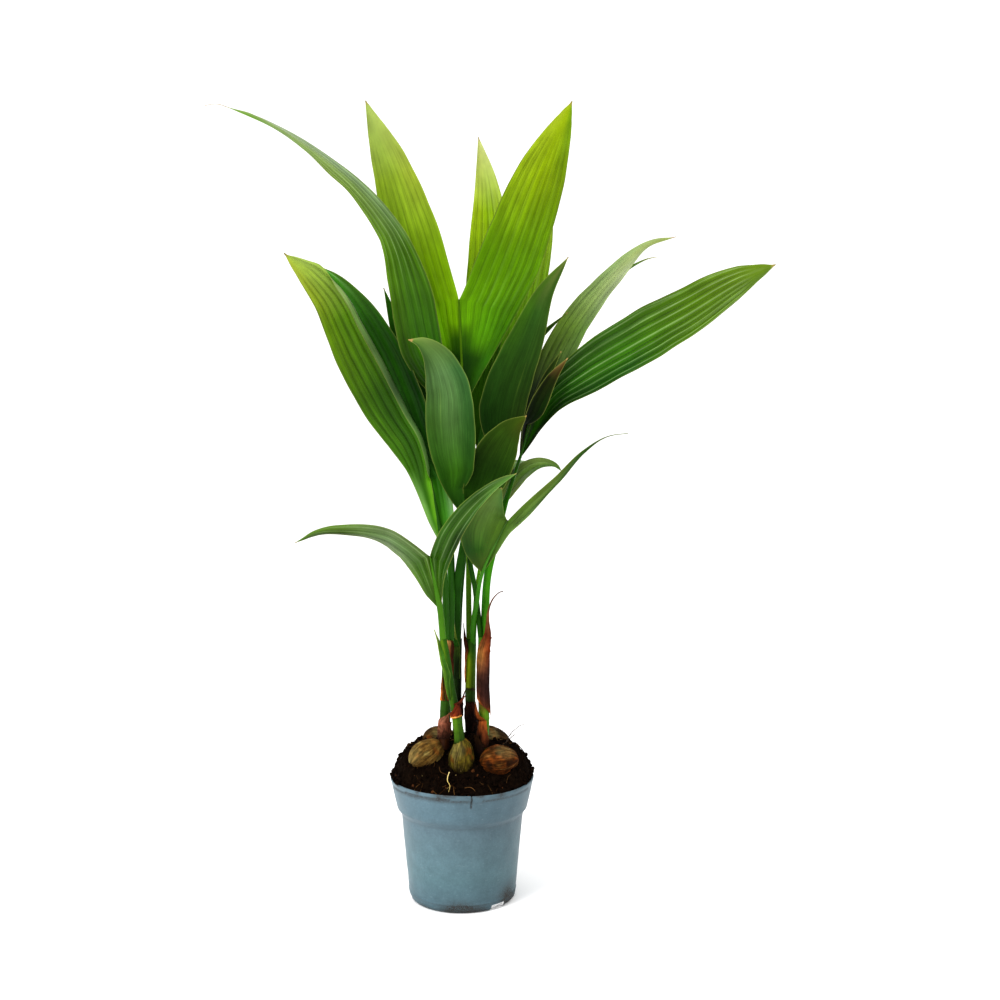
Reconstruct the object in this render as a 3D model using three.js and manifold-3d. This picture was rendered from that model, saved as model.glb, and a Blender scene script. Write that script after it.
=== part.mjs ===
// Potted betel-type palm: five seedlings, each sprouting from its own fibrous nut,
// in a thin plastic nursery pot. Millimetres, +Z up. The origin is the centre of the
// pot's flat underside on the floor, +X is to the right and +Y is to the back.
import * as THREE from 'three';
import { mergeVertices } from 'three/addons/utils/BufferGeometryUtils.js';
import Module from 'manifold-3d';

const wasm = await Module();
wasm.setup();

// ---------------------------------------------------------------- driving dimensions
const POT_HEIGHT = 112;
const RIM_RADIUS = 65;
const BASE_RADIUS = 48.6;
const COLLAR_RADIUS = 59.2;
const COLLAR_HEIGHT = 84.5;
const STEP_RADIUS = 55.2;
const STEP_HEIGHT = 78.6;
const WALL = 1.2;
const DRAIN_COUNT = 3;
const DRAIN_WIDTH = 14;
const DRAIN_HEIGHT = 4.5;
const DRAIN_DEPTH = 12;
const DRAIN_TURN = -47.4;

const SOIL_GAP = 0.6;
const SOIL_EDGE_HEIGHT = 107;
const SOIL_TOP_HEIGHT = 139;
const SOIL_EDGE_RADIUS = 61;
const SOIL_BACK_POWER = 7;
const SOIL_FRONT_POWER = 1.6;
const SOIL_LUMP = 1.6;

const FIT_GAP = 0.4;
const BLADE = 1.0;
const SHEATH = 0.8;
const SHEATH_GAP = 1.0;
const PETIOLE_RADIUS = 2.0;
const RACHIS_RADIUS = 1.3;
const EDGE_HALF_WIDTH = 0.6;
const TIP_RADIUS = 0.7;

const POT_SEGMENTS = 40;
const SOIL_SEGMENTS = 24;
const NUT_SEGMENTS = 12;
const SHEATH_STATIONS = 9;
const SHEATH_COLUMNS = 7;
const LOBE_STATIONS = 12;
const LOBE_COLUMNS = 4;

// ---------------------------------------------------------------- colours
const COLOURS = {
  pot: [0x58757f, 0.45],
  soil: [0x1d1712, 0.95],
  nut: [0x664527, 0.9],
  nut_green: [0x5a5226, 0.9],
  stem: [0x35651a, 0.5],
  leaf_young: [0x6c940a, 0.45],
  leaf: [0x35620f, 0.45],
  leaf_old: [0x24450e, 0.5],
  sheath_green: [0x55782a, 0.6],
  sheath_dry: [0x6d4228, 0.85],
  root: [0xc9b26a, 0.8],
};

// ---------------------------------------------------------------- small maths
const vec = (p) => new THREE.Vector3(p[0], p[1], p[2]);
const clamp01 = (x) => Math.min(1, Math.max(0, x));
const smooth = (x) => clamp01(x) * clamp01(x) * (3 - 2 * clamp01(x));
const lerp = (a, b, t) => a + (b - a) * t;

// Evenly spaced points on a smooth curve through the given points.
function spaced(points, count) {
  const curve = new THREE.CatmullRomCurve3(points.map(vec), false, 'centripetal');
  curve.arcLengthDivisions = 400;
  return curve.getSpacedPoints(count - 1);
}

function tangents(path) {
  return path.map((p, i) => {
    const a = path[Math.max(0, i - 1)];
    const b = path[Math.min(path.length - 1, i + 1)];
    return b.clone().sub(a).normalize();
  });
}

// ---------------------------------------------------------------- solids
function signedVolume(positions, indices) {
  let sum = 0;
  for (let i = 0; i < indices.length; i += 3) {
    const [a, b, c] = [0, 1, 2].map((k) => {
      const j = indices[i + k] * 3;
      return new THREE.Vector3(positions[j], positions[j + 1], positions[j + 2]);
    });
    sum += a.dot(b.cross(c)) / 6;
  }
  return sum;
}

function solid(positions, indices) {
  const tris = Uint32Array.from(indices);
  if (signedVolume(positions, tris) < 0) {
    for (let i = 0; i < tris.length; i += 3) {
      [tris[i], tris[i + 1]] = [tris[i + 1], tris[i]];
    }
  }
  const mesh = new wasm.Mesh({
    numProp: 3,
    vertProperties: Float32Array.from(positions),
    triVerts: tris,
  });
  return new wasm.Manifold(mesh);
}

function solidOf(geometry) {
  const bare = geometry.clone();
  bare.deleteAttribute('normal');
  bare.deleteAttribute('uv');
  const merged = mergeVertices(bare, 1e-4);
  return solid(Array.from(merged.attributes.position.array), Array.from(merged.index.array));
}

function geometryOf(manifold) {
  const mesh = manifold.getMesh();
  const geometry = new THREE.BufferGeometry();
  const positions = new Float32Array(mesh.vertProperties);
  geometry.setAttribute('position', new THREE.BufferAttribute(positions, 3));
  geometry.setIndex(new THREE.BufferAttribute(new Uint32Array(mesh.triVerts), 1));
  geometry.computeVertexNormals();
  return geometry;
}

// A sheet of even thickness around a grid of points, closed along its four edges.
function sheet(grid, thickness) {
  const rows = grid.length;
  const cols = grid[0].length;
  const positions = [];
  const indices = [];
  const id = (face, i, j) => (face * rows + i) * cols + j;
  for (const side of [1, -1]) {
    for (let i = 0; i < rows; i++) {
      for (let j = 0; j < cols; j++) {
        const along = grid[Math.min(rows - 1, i + 1)][j].clone().sub(grid[Math.max(0, i - 1)][j]);
        const across = grid[i][Math.min(cols - 1, j + 1)].clone().sub(grid[i][Math.max(0, j - 1)]);
        const normal = along.cross(across).normalize();
        const p = grid[i][j].clone().addScaledVector(normal, (side * thickness) / 2);
        positions.push(p.x, p.y, p.z);
      }
    }
  }
  const quad = (a, b, c, d) => indices.push(a, b, c, a, c, d);
  for (let i = 0; i < rows - 1; i++) {
    for (let j = 0; j < cols - 1; j++) {
      quad(id(0, i, j), id(0, i + 1, j), id(0, i + 1, j + 1), id(0, i, j + 1));
      quad(id(1, i, j), id(1, i, j + 1), id(1, i + 1, j + 1), id(1, i + 1, j));
    }
    quad(id(0, i, 0), id(1, i, 0), id(1, i + 1, 0), id(0, i + 1, 0));
    quad(id(0, i, cols - 1), id(0, i + 1, cols - 1), id(1, i + 1, cols - 1), id(1, i, cols - 1));
  }
  for (let j = 0; j < cols - 1; j++) {
    quad(id(0, 0, j), id(0, 0, j + 1), id(1, 0, j + 1), id(1, 0, j));
    quad(id(0, rows - 1, j), id(1, rows - 1, j), id(1, rows - 1, j + 1), id(0, rows - 1, j + 1));
  }
  return solid(positions, indices);
}

// A round stalk along a path, with a radius that changes from one end to the other.
function stalk(path, radiusAt, sides, grow = 0) {
  const along = tangents(path);
  const positions = [];
  const indices = [];
  let side = new THREE.Vector3(1, 0, 0);
  path.forEach((p, i) => {
    side = side.clone().addScaledVector(along[i], -side.dot(along[i])).normalize();
    const other = along[i].clone().cross(side);
    const radius = radiusAt(i / (path.length - 1)) + grow;
    const shift = i === 0 ? -grow : i === path.length - 1 ? grow : 0;
    for (let k = 0; k < sides; k++) {
      const angle = (2 * Math.PI * k) / sides;
      const q = p.clone().addScaledVector(along[i], shift);
      q.addScaledVector(side, radius * Math.cos(angle));
      q.addScaledVector(other, radius * Math.sin(angle));
      positions.push(q.x, q.y, q.z);
    }
  });
  const last = (path.length - 1) * sides;
  for (let i = 0; i < path.length - 1; i++) {
    for (let k = 0; k < sides; k++) {
      const a = i * sides + k;
      const b = i * sides + ((k + 1) % sides);
      indices.push(a, b, b + sides, a, b + sides, a + sides);
    }
  }
  for (let k = 1; k < sides - 1; k++) {
    indices.push(0, k + 1, k);
    indices.push(last, last + k, last + k + 1);
  }
  return solid(positions, indices);
}

// ---------------------------------------------------------------- pot and soil
function lathe(profile, segments) {
  const points = profile.map(([r, z]) => new THREE.Vector2(r, z));
  const geometry = new THREE.LatheGeometry(points, segments);
  geometry.rotateX(Math.PI / 2);
  return solidOf(geometry);
}

const potWall = (shift) => [
  [BASE_RADIUS - 1.0 - shift, 1.4 + shift],
  [BASE_RADIUS - shift, 4 + shift],
  [STEP_RADIUS - shift, STEP_HEIGHT],
  [COLLAR_RADIUS - shift, COLLAR_HEIGHT],
];

function makePot() {
  const outer = [
    [0, 0],
    [BASE_RADIUS - 4, 0],
    ...potWall(0),
    [RIM_RADIUS - 0.8, POT_HEIGHT - 4],
    [RIM_RADIUS, POT_HEIGHT - 3.2],
    [RIM_RADIUS, POT_HEIGHT - 0.7],
    [RIM_RADIUS - 0.7, POT_HEIGHT],
  ];
  const inner = [
    [RIM_RADIUS - 1.7, POT_HEIGHT],
    [RIM_RADIUS - 2.1, POT_HEIGHT - 1],
    ...potWall(WALL).reverse(),
    [BASE_RADIUS - 4.4, WALL],
    [0, WALL],
  ];
  let pot = lathe([...outer, ...inner], POT_SEGMENTS);
  for (let k = 0; k < DRAIN_COUNT; k++) {
    const box = new THREE.BoxGeometry(DRAIN_DEPTH, DRAIN_WIDTH, DRAIN_HEIGHT * 2);
    box.translate(BASE_RADIUS, 0, 0);
    box.rotateZ(THREE.MathUtils.degToRad(DRAIN_TURN + (360 * k) / DRAIN_COUNT));
    pot = pot.subtract(solidOf(box));
  }
  return pot;
}

// Height of the heaped soil: steep at the sides and back, sloping down to the front rim.
function soilHeight(x, y) {
  const radius = Math.hypot(x, y);
  const front = smooth((-y / Math.max(radius, 1) - 0.1) / 0.8);
  const power = lerp(SOIL_BACK_POWER, SOIL_FRONT_POWER, front);
  const fall = Math.pow(Math.min(1, radius / SOIL_EDGE_RADIUS), power);
  const lumps = Math.sin(x * 0.31 + 1.3) * Math.sin(y * 0.27 + 0.4) + 0.6 * Math.sin(x * 0.13 - y * 0.19);
  const edge = 1 - Math.pow(Math.min(1, radius / SOIL_EDGE_RADIUS), 6);
  return lerp(SOIL_TOP_HEIGHT, SOIL_EDGE_HEIGHT, fall) + SOIL_LUMP * lumps * edge;
}

function makeSoil() {
  const inset = WALL + SOIL_GAP;
  const wall = [
    [0, WALL + SOIL_GAP],
    [BASE_RADIUS - 5, WALL + SOIL_GAP],
    ...potWall(inset),
  ];
  const topRadii = [SOIL_EDGE_RADIUS, 57, 51, 43, 33, 22, 11];
  const positions = [0, 0, wall[0][1]];
  const indices = [];
  const rings = [...wall.slice(1), ...topRadii.map((r) => [r, null])];
  for (const [r, z] of rings) {
    for (let k = 0; k < SOIL_SEGMENTS; k++) {
      const angle = (2 * Math.PI * k) / SOIL_SEGMENTS;
      const x = r * Math.cos(angle);
      const y = r * Math.sin(angle);
      positions.push(x, y, z === null ? soilHeight(x, y) : z);
    }
  }
  positions.push(0, 0, soilHeight(0, 0));
  const apex = positions.length / 3 - 1;
  const at = (ring, k) => 1 + ring * SOIL_SEGMENTS + (k % SOIL_SEGMENTS);
  for (let k = 0; k < SOIL_SEGMENTS; k++) {
    indices.push(0, at(0, k + 1), at(0, k));
    indices.push(apex, at(rings.length - 1, k), at(rings.length - 1, k + 1));
    for (let r = 0; r < rings.length - 1; r++) {
      indices.push(at(r, k), at(r, k + 1), at(r + 1, k + 1));
      indices.push(at(r, k), at(r + 1, k + 1), at(r + 1, k));
    }
  }
  return solid(positions, indices);
}

// ---------------------------------------------------------------- nuts
// centre, long axis, half length and radius of each nut.
const NUTS = {
  nut_front_left: { at: [-32, -18, 138], axis: [0.8, 0.28, 0.53], half: 17.5, radius: 13.2 },
  nut_front_middle: { at: [0.5, -28, 137], axis: [0.05, 0, 1], half: 17.5, radius: 11.6 },
  nut_front_right: { at: [33.5, -22, 131], axis: [1, 0.05, 0.1], half: 17.5, radius: 14.2 },
  nut_back_left: { at: [-21, 27, 137], axis: [1, -0.2, 0.1], half: 17, radius: 12.4 },
  nut_back_right: { at: [26, 25, 137], axis: [1, 0.25, -0.1], half: 17.5, radius: 12.6 },
};

// An egg-shaped husk with shallow lengthwise ridges and a blunter stalk end.
function makeNut({ at, axis, half, radius }, grow = 0) {
  const geometry = new THREE.SphereGeometry(1, NUT_SEGMENTS, 8);
  const position = geometry.attributes.position;
  for (let i = 0; i < position.count; i++) {
    const p = new THREE.Vector3().fromBufferAttribute(position, i);
    const ridge = 1 + 0.025 * Math.cos(4 * Math.atan2(p.z, p.x)) * (1 - p.y * p.y);
    const egg = 1 - 0.12 * p.y;
    const r = (radius + grow) * ridge * egg;
    position.setXYZ(i, p.x * r, p.y * (half + grow), p.z * r);
  }
  const turn = new THREE.Quaternion().setFromUnitVectors(
    new THREE.Vector3(0, 1, 0),
    vec(axis).normalize(),
  );
  geometry.applyQuaternion(turn);
  geometry.translate(...at);
  return solidOf(geometry);
}

// ---------------------------------------------------------------- stems
// Each stem is the tight bundle of leaf bases above one nut, from the nut upwards.
const STEMS = {
  stem_front_middle: {
    path: [[-1, -28, 147], [-3, -28, 165], [-6.5, -28, 185],
      [-10, -28, 205], [-13.3, -28, 229], [-16, -28, 243]],
    radii: [4.4, 3.2],
    nut: 'nut_front_middle',
  },
  stem_front_left: {
    path: [[-17, -13, 140], [-16, -13, 152], [-15, -12, 171],
      [-14, -10, 193], [-13, -9, 220], [-12.4, -8, 238]],
    radii: [5, 4.3],
    nut: 'nut_front_left',
  },
  stem_back_left: {
    path: [[-4.5, 22, 130], [-4.5, 22, 146], [-5.2, 18, 177], [-5, 12, 207], [-4.4, 9, 236]],
    radii: [4.6, 4.2],
    nut: 'nut_back_left',
  },
  stem_back_right: {
    path: [[8.6, 18, 128], [8.6, 18, 142], [7.8, 14, 164], [7.3, 11, 188], [8, 9, 217], [8.6, 8, 236]],
    radii: [5, 4.3],
    nut: 'nut_back_right',
  },
  stem_front_right: {
    path: [[18.3, -14, 130], [18.3, -14, 143], [20, -12, 166],
      [19.3, -9, 193], [19.2, -6, 220], [19.3, -4, 240]],
    radii: [5.2, 4.4],
    nut: 'nut_front_right',
  },
};

function makeStem({ path, radii }, grow = 0) {
  return stalk(spaced(path, 8), (u) => lerp(radii[0], radii[1], u), 10, grow);
}

// ---------------------------------------------------------------- sheaths
// A sheath is a thin scale curled round a stem; it narrows to a free tip at its top end.
// on, from, to: the stem it hugs and between which heights; tip: where its free end goes;
// up: the way it faces; spans: degrees of the stem it covers at its foot and at its tip.
const SHEATHS = {
  sheath_front_middle: {
    on: 'stem_front_middle', from: 196, to: 212, tip: [[-16, -28, 228], [-21, -27.5, 241], [-24.5, -27, 252]],
    up: [-0.9, -1, 0], spans: [170, 60], colour: 'sheath_green',
  },
  sheath_base_front_middle: {
    on: 'stem_front_middle', from: 159, to: 176, up: [-0.4, -1, 0], spans: [230, 110], colour: 'sheath_dry',
  },
  sheath_front_left: {
    on: 'stem_front_left', from: 178, to: 235, up: [0.6, -1, 0], spans: [90, 30], colour: 'sheath_dry',
  },
  sheath_base_front_left: {
    on: 'stem_front_left', from: 154, to: 173, up: [0.1, -1, 0], spans: [210, 60], colour: 'sheath_dry',
  },
  sheath_back_left: {
    on: 'stem_back_left', from: 200, to: 234, tip: [[-6.2, 3, 247], [-6.6, -1, 259]],
    up: [-0.7, -1, 0], spans: [150, 60], colour: 'sheath_green',
  },
  flake_back_left: {
    on: 'stem_back_left', from: 167, to: 181, up: [1, -0.6, 0], spans: [70, 24], colour: 'sheath_dry',
  },
  sheath_back_right: {
    on: 'stem_back_right', from: 172, to: 226, tip: [[4.5, 5, 236], [1.6, 3.5, 249]],
    up: [-1, -0.7, 0], spans: [110, 50], colour: 'sheath_dry',
  },
  sheath_base_back_right: {
    on: 'stem_back_right', from: 148, to: 167, up: [0, -1, 0], spans: [220, 80], colour: 'sheath_dry',
  },
  sheath_front_right: {
    on: 'stem_front_right', from: 170, to: 238, tip: [[25, -9.5, 258], [30, -12, 274], [36.5, -14, 285]],
    up: [0.5, -1, 0], spans: [220, 60], colour: 'sheath_dry',
  },
  sheath_base_front_right: {
    on: 'stem_front_right', from: 147, to: 165, up: [0.1, -1, 0], spans: [220, 110], colour: 'sheath_dry',
  },
};

// Centre line of a sheath and its distance from that line at each station.
function hug({ on, from, to, tip = [] }) {
  const { path, radii } = STEMS[on];
  const fine = spaced(path, 60);
  const level = (z) => (fine.find((p) => p.z >= z) ?? fine[59]).toArray();
  const centre = spaced([0, 0.33, 0.67, 1].map((t) => level(lerp(from, to, t))).concat(tip), SHEATH_STATIONS);
  const foot = path[0][2];
  const head = path[path.length - 1][2];
  const end = tip.length ? tip[tip.length - 1][2] : to;
  return centre.map((p) => {
    const stem = lerp(radii[0], radii[1], clamp01((p.z - foot) / (head - foot)));
    const snug = stem + SHEATH_GAP + SHEATH / 2;
    const free = p.z > to && tip.length ? smooth((p.z - to) / (end - to)) : 0;
    return { p, radius: lerp(snug, TIP_RADIUS, free) };
  });
}

function makeSheath(sheath) {
  const line = hug(sheath);
  const along = tangents(line.map(({ p }) => p));
  const up = vec(sheath.up);
  const grid = line.map(({ p, radius }, i) => {
    const u = i / (line.length - 1);
    const facing = up.clone().addScaledVector(along[i], -up.dot(along[i])).normalize();
    const across = along[i].clone().cross(facing);
    const half = THREE.MathUtils.degToRad(lerp(sheath.spans[0], sheath.spans[1], smooth(u))) / 2;
    const reach = radius / Math.cos(half / (SHEATH_COLUMNS - 1));
    return Array.from({ length: SHEATH_COLUMNS }, (_, j) => {
      const angle = half * ((2 * j) / (SHEATH_COLUMNS - 1) - 1);
      const q = p.clone().addScaledVector(facing, reach * Math.cos(angle));
      return q.addScaledVector(across, reach * Math.sin(angle));
    });
  });
  return sheet(grid, SHEATH);
}

// ---------------------------------------------------------------- leaves
// Every leaf is a petiole that runs on as a rachis between two pleated lobes.
// petiole: foot to base. split: bottom of the notch between the lobes.
// Each lobe: spine points after the base, widest width, up vectors at base and tip,
// where along the lobe it is widest, and how bluntly it tapers to its tip.
const LEAVES = {
  leaf_tall: {
    petiole: [[6.3, 8.8, 237], [6, 9, 273], [6, 8, 314], [5, 6, 360], [3, 3, 405], [2, 0, 447]],
    split: [-2, 0, 542],
    lobes: [
      { spine: [[-10, 1, 483], [-21, -1, 523], [-34, -5, 569],
        [-47, -10, 617], [-62, -15, 663], [-81, -20, 710]],
        width: 54, up: [[0.25, -1, 0.1], [0.1, -1, 0.25]], widest: 0.5, taper: 2 },
      { spine: [[10, 1, 484], [22, 0, 524], [42, -2, 575], [62, -3, 625], [81, -5, 673], [97, -8, 712]],
        width: 57, up: [[-0.25, -1, 0.1], [-0.1, -1, 0.25]], widest: 0.54, taper: 2 },
    ],
    colour: 'leaf_young',
  },
  leaf_tall_back: {
    petiole: [[-4.2, 11.4, 237], [-2, 18, 280], [3, 24, 325], [9, 30, 362], [14, 36, 403]],
    split: [37, 46, 517],
    lobes: [
      { spine: [[18, 46, 471], [23, 58, 536], [25, 72, 602], [22, 88, 654], [14, 104, 701]],
        width: 42, up: [[0.1, -1, 0.1], [0.1, -1, 0.5]], widest: 0.5, taper: 1.9 },
      { spine: [[32, 46, 467], [50, 60, 527], [64, 76, 579], [74, 92, 620], [85, 112, 663]],
        width: 40, up: [[-0.2, -1, 0.1], [-0.1, -1, 0.5]], widest: 0.5, taper: 1.9 },
    ],
    colour: 'leaf_young',
  },
  leaf_arching_left: {
    petiole: [[-11.2, -5.8, 239], [-10, -6, 275], [-10, -8, 311], [-11, -10, 347], [-12, -12, 392]],
    split: [-22, -13, 458],
    lobes: [
      { spine: [[-18, -16, 426], [-26, -20, 467], [-35, -25, 506], [-42, -29, 542], [-55, -36, 584],
        [-83, -46, 628], [-122, -62, 662], [-158, -78, 682], [-188, -94, 691]],
        width: 40, up: [[0.1, -1, 0.1], [0.5, -0.45, 1]], widest: 0.38, taper: 1.3 },
      { spine: [[-25, -9, 432], [-37, -6, 469], [-54, 2, 509], [-69.5, 14, 553]],
        width: 22, up: [[0, -1, 0], [0.2, -1, 0.3]], widest: 0.45, taper: 1.6 },
    ],
    colour: 'leaf',
  },
  leaf_left: {
    petiole: [[-13.6, -10.2, 239], [-14, -14, 276], [-15, -18, 299], [-16, -21, 323]],
    split: [-26, -26, 384],
    lobes: [
      { spine: [[-34, -34, 393], [-60, -42, 441], [-85, -52, 493], [-107, -62, 536], [-143, -82, 575]],
        width: 42, up: [[-0.1, -1, 0.2], [-0.3, -1, 0.5]], widest: 0.52, taper: 2 },
      { spine: [[-30, -24, 401], [-46, -25, 450], [-66, -20, 496],
        [-89, -11, 534], [-108, -2, 558], [-124, 6, 571]],
        width: 30, up: [[-0.1, -1, 0], [-0.2, -1, 0.5]], widest: 0.5, taper: 1.9 },
    ],
    colour: 'leaf',
  },
  leaf_centre_front: {
    petiole: [[-4.6, 6.6, 237], [-3.6, 4, 258], [-2, -5, 285], [2, -14, 321], [4, -22, 349]],
    split: [2, -28, 377],
    lobes: [
      { spine: [[-4, -38, 392], [-8, -50, 433], [-10, -57, 465],
        [-19, -61, 490], [-31, -62, 502], [-43, -60, 505]],
        width: 42, up: [[0.1, -1, 0.05], [-0.2, -1, 0.8]], widest: 0.5, taper: 2.2 },
      { spine: [[19, -36, 380], [31, -46, 407], [44, -54, 429], [57, -60, 441]],
        width: 38, up: [[-0.2, -1, 0], [0, -1, 0.5]], widest: 0.5, taper: 1.9 },
    ],
    colour: 'leaf_old',
  },
  leaf_centre_back: {
    petiole: [[16.9, -3, 241], [14.6, -0.5, 262], [12, -1, 283], [7, -3, 314], [9, -5, 346], [15, -7, 373]],
    split: [24, -8, 418],
    lobes: [
      { spine: [[34, -12, 436], [42, -15, 467], [58, -20, 508], [73, -25, 546], [93, -34, 576]],
        width: 42, up: [[-0.2, -1, 0.1], [0, -1, 0.4]], widest: 0.34, taper: 1.7 },
      { spine: [[29, 4, 422], [44, 14, 460], [60, 20, 497], [77, 23, 516], [96, 25, 532]],
        width: 15, up: [[0, -1, 0], [0, -1, 0.5]], widest: 0.35, taper: 1.3 },
    ],
    colour: 'leaf_old',
  },
  leaf_right: {
    petiole: [[20, 0.3, 241], [22.6, 4, 293], [30, 6, 329], [40, 8, 364], [52, 8, 400]],
    split: [62, 8, 431],
    lobes: [
      { spine: [[68, 16, 445], [85, 30, 485], [110, 45, 528],
        [138, 58, 563], [171, 71, 596], [200, 80, 605]],
        width: 36, up: [[-0.1, -1, 0.1], [-0.2, -0.8, 1]], widest: 0.42, taper: 1.7 },
      { spine: [[78, 0, 453], [110, -15, 481], [154, -34, 508],
        [197, -52, 532], [232, -66, 552], [262, -78, 566]],
        width: 48, up: [[0, -1, 0.4], [0, -1, 0.7]], widest: 0.62, taper: 2.3 },
    ],
    colour: 'leaf',
  },
  leaf_folded: {
    petiole: [[21.5, -4.9, 241], [24.2, -6, 293], [32, -6, 328], [43, -9, 373], [54, -14, 409]],
    split: [59, -17, 432],
    lobes: [
      { spine: [[61, -23, 432], [70, -27, 454], [80, -30, 473], [93, -34, 490]],
        width: 16, up: [[0.5, -1, 0], [0.3, -1, 0.3]], widest: 0.45, taper: 1.6 },
      { spine: [[63, -16, 438], [71, -16, 461], [79, -17, 480], [88, -19, 496]],
        width: 13, up: [[-0.4, -1, 0], [-0.2, -1, 0.3]], widest: 0.45, taper: 1.6 },
    ],
    colour: 'leaf_old',
  },
  leaf_low_right: {
    petiole: [[9.8, 5, 237], [11, -2.4, 255], [13.2, -9, 270], [19, -22, 301]],
    split: [41, -34, 349],
    lobes: [
      { spine: [[18, -34, 323], [20, -46, 344], [25, -56, 362], [36, -64, 380]],
        width: 38, up: [[0.1, -1, 0.1], [0.1, -1, 0.5]], widest: 0.5, taper: 2 },
      { spine: [[38, -34, 336], [60, -50, 360], [83, -66, 385],
        [104, -82, 411], [122, -94, 424], [139, -104, 428]],
        width: 15, up: [[-0.4, -1, 0.5], [-0.2, -0.6, 1]], widest: 0.35, taper: 1.3 },
    ],
    colour: 'leaf',
  },
  leaf_low_left: {
    petiole: [[-16, -28.2, 244], [-18, -34, 270]],
    split: [-26, -46, 319],
    lobes: [
      { spine: [[-34, -50, 308], [-51, -62, 328], [-70, -72, 341],
        [-98, -82, 346], [-118, -90, 345], [-135, -98, 337]],
        width: 23, up: [[-0.2, -1, 0.1], [0.1, -0.35, 1]], widest: 0.33, taper: 1.5 },
      { spine: [[-19, -58, 308], [-10, -72, 336], [6, -84, 361], [26, -94, 381], [48, -102, 395]],
        width: 20, up: [[0.2, -1, 0.2], [-0.3, -0.8, 0.9]], widest: 0.5, taper: 2.8 },
    ],
    colour: 'leaf',
  },
  leaf_small_back: {
    petiole: [[10.6, 10.4, 237], [13, 18, 280], [20, 22, 316], [31, 26, 348]],
    split: [37, 30, 362],
    lobes: [
      { spine: [[43, 40, 372], [56, 50, 387], [71, 58, 394], [85, 64, 392], [93, 68, 385]],
        width: 19, up: [[-0.3, -1, 0.6], [0, -0.7, 1]], widest: 0.5, taper: 2.2 },
      { spine: [[34, 50, 366], [40, 74, 382], [50, 100, 392], [64, 124, 391]],
        width: 22, up: [[0, -1, 0], [0, -0.4, 1]], widest: 0.5, taper: 1.9 },
    ],
    colour: 'leaf',
  },
};

// Share of the full width at a fraction u of the lobe's length.
function outline(u, { widest, taper }) {
  if (u < widest) return 1 - (1 - u / widest) ** 2;
  return 1 - ((u - widest) / (1 - widest)) ** taper;
}

// Middle surface of one lobe: rows from base to tip, columns from inner to outer edge.
// Below the split the inner edge lies on the rachis; above it, it is a free edge.
function lobeGrid(leaf, index) {
  const lobe = leaf.lobes[index];
  const base = leaf.petiole[leaf.petiole.length - 1];
  const spine = spaced([base, ...lobe.spine], LOBE_STATIONS);
  const other = spaced([base, ...leaf.lobes[1 - index].spine], LOBE_STATIONS);
  const along = tangents(spine);
  const length = spine.reduce((sum, p, i) => (i ? sum + p.distanceTo(spine[i - 1]) : 0), 0);
  const rachis = vec(leaf.split).sub(vec(base));
  const splitAt = rachis.length() / length;
  const frames = spine.map((p, i) => {
    const t = smooth(i / (LOBE_STATIONS - 1));
    const up = vec(lobe.up[0]).normalize().lerp(vec(lobe.up[1]).normalize(), t);
    up.addScaledVector(along[i], -up.dot(along[i])).normalize();
    return { up, across: along[i].clone().cross(up) };
  });
  const probe = Math.floor(LOBE_STATIONS * 0.45);
  const toOther = other[probe].clone().sub(spine[probe]);
  const sign = Math.sign(toOther.dot(frames[probe].across)) || 1;
  return spine.map((p, i) => {
    const u = i / (LOBE_STATIONS - 1);
    const half = Math.max((lobe.width / 2) * outline(u, lobe), EDGE_HALF_WIDTH);
    const { up, across } = frames[i];
    const outer = p.clone().addScaledVector(across, -sign * half);
    const free = p.clone().addScaledVector(across, sign * half);
    const joined = vec(base).addScaledVector(rachis, clamp01(u / splitAt));
    const inner = joined.lerp(free, smooth((u - splitAt * 0.95) / (splitAt * 0.7)));
    const width = inner.distanceTo(outer);
    return Array.from({ length: LOBE_COLUMNS }, (_, j) => {
      const v = j / (LOBE_COLUMNS - 1);
      const q = inner.clone().lerp(outer, v);
      return q.addScaledVector(up, -0.12 * 4 * v * (1 - v) * width);
    });
  });
}

function makeLeaf(leaf) {
  const stations = 4 * leaf.petiole.length - 2;
  const stem = spaced([...leaf.petiole, leaf.split], stations);
  const radiusAt = (u) => lerp(PETIOLE_RADIUS, RACHIS_RADIUS, smooth(u * 1.3));
  let body = stalk(stem, radiusAt, 6);
  for (const index of [0, 1]) {
    body = body.add(sheet(lobeGrid(leaf, index), BLADE));
  }
  return body;
}

// ---------------------------------------------------------------- roots
const ROOTS = {
  root_front: [[-10.5, -39, 125], [-11.5, -46, 119.5], [-9.5, -53, 117], [-10, -60, 113.5]],
  root_right_low: [[36, 2, 136], [42, 3, 142], [48, 5, 147], [53, 6, 147]],
  root_right_high: [[38, 8, 134], [44, 9, 146], [51, 9, 153], [57, 8, 156]],
};

const makeRoot = (points, grow = 0) => stalk(spaced(points, 7), () => 0.7, 5, grow);

// ---------------------------------------------------------------- assembly
const potted_palm = new THREE.Group();
potted_palm.name = 'potted_palm';

function place(name, manifold, colour) {
  const [hex, roughness] = COLOURS[colour];
  const material = new THREE.MeshStandardMaterial({ color: hex, roughness, metalness: 0 });
  const mesh = new THREE.Mesh(geometryOf(manifold), material);
  mesh.name = name;
  potted_palm.add(mesh);
}

place('pot', makePot(), 'pot');

let soil = makeSoil();
for (const nut of Object.values(NUTS)) {
  soil = soil.subtract(makeNut(nut, FIT_GAP));
}
for (const stem of Object.values(STEMS)) {
  soil = soil.subtract(makeStem(stem, FIT_GAP));
}
for (const root of Object.values(ROOTS)) {
  soil = soil.subtract(makeRoot(root, FIT_GAP));
}
place('soil', soil, 'soil');

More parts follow.
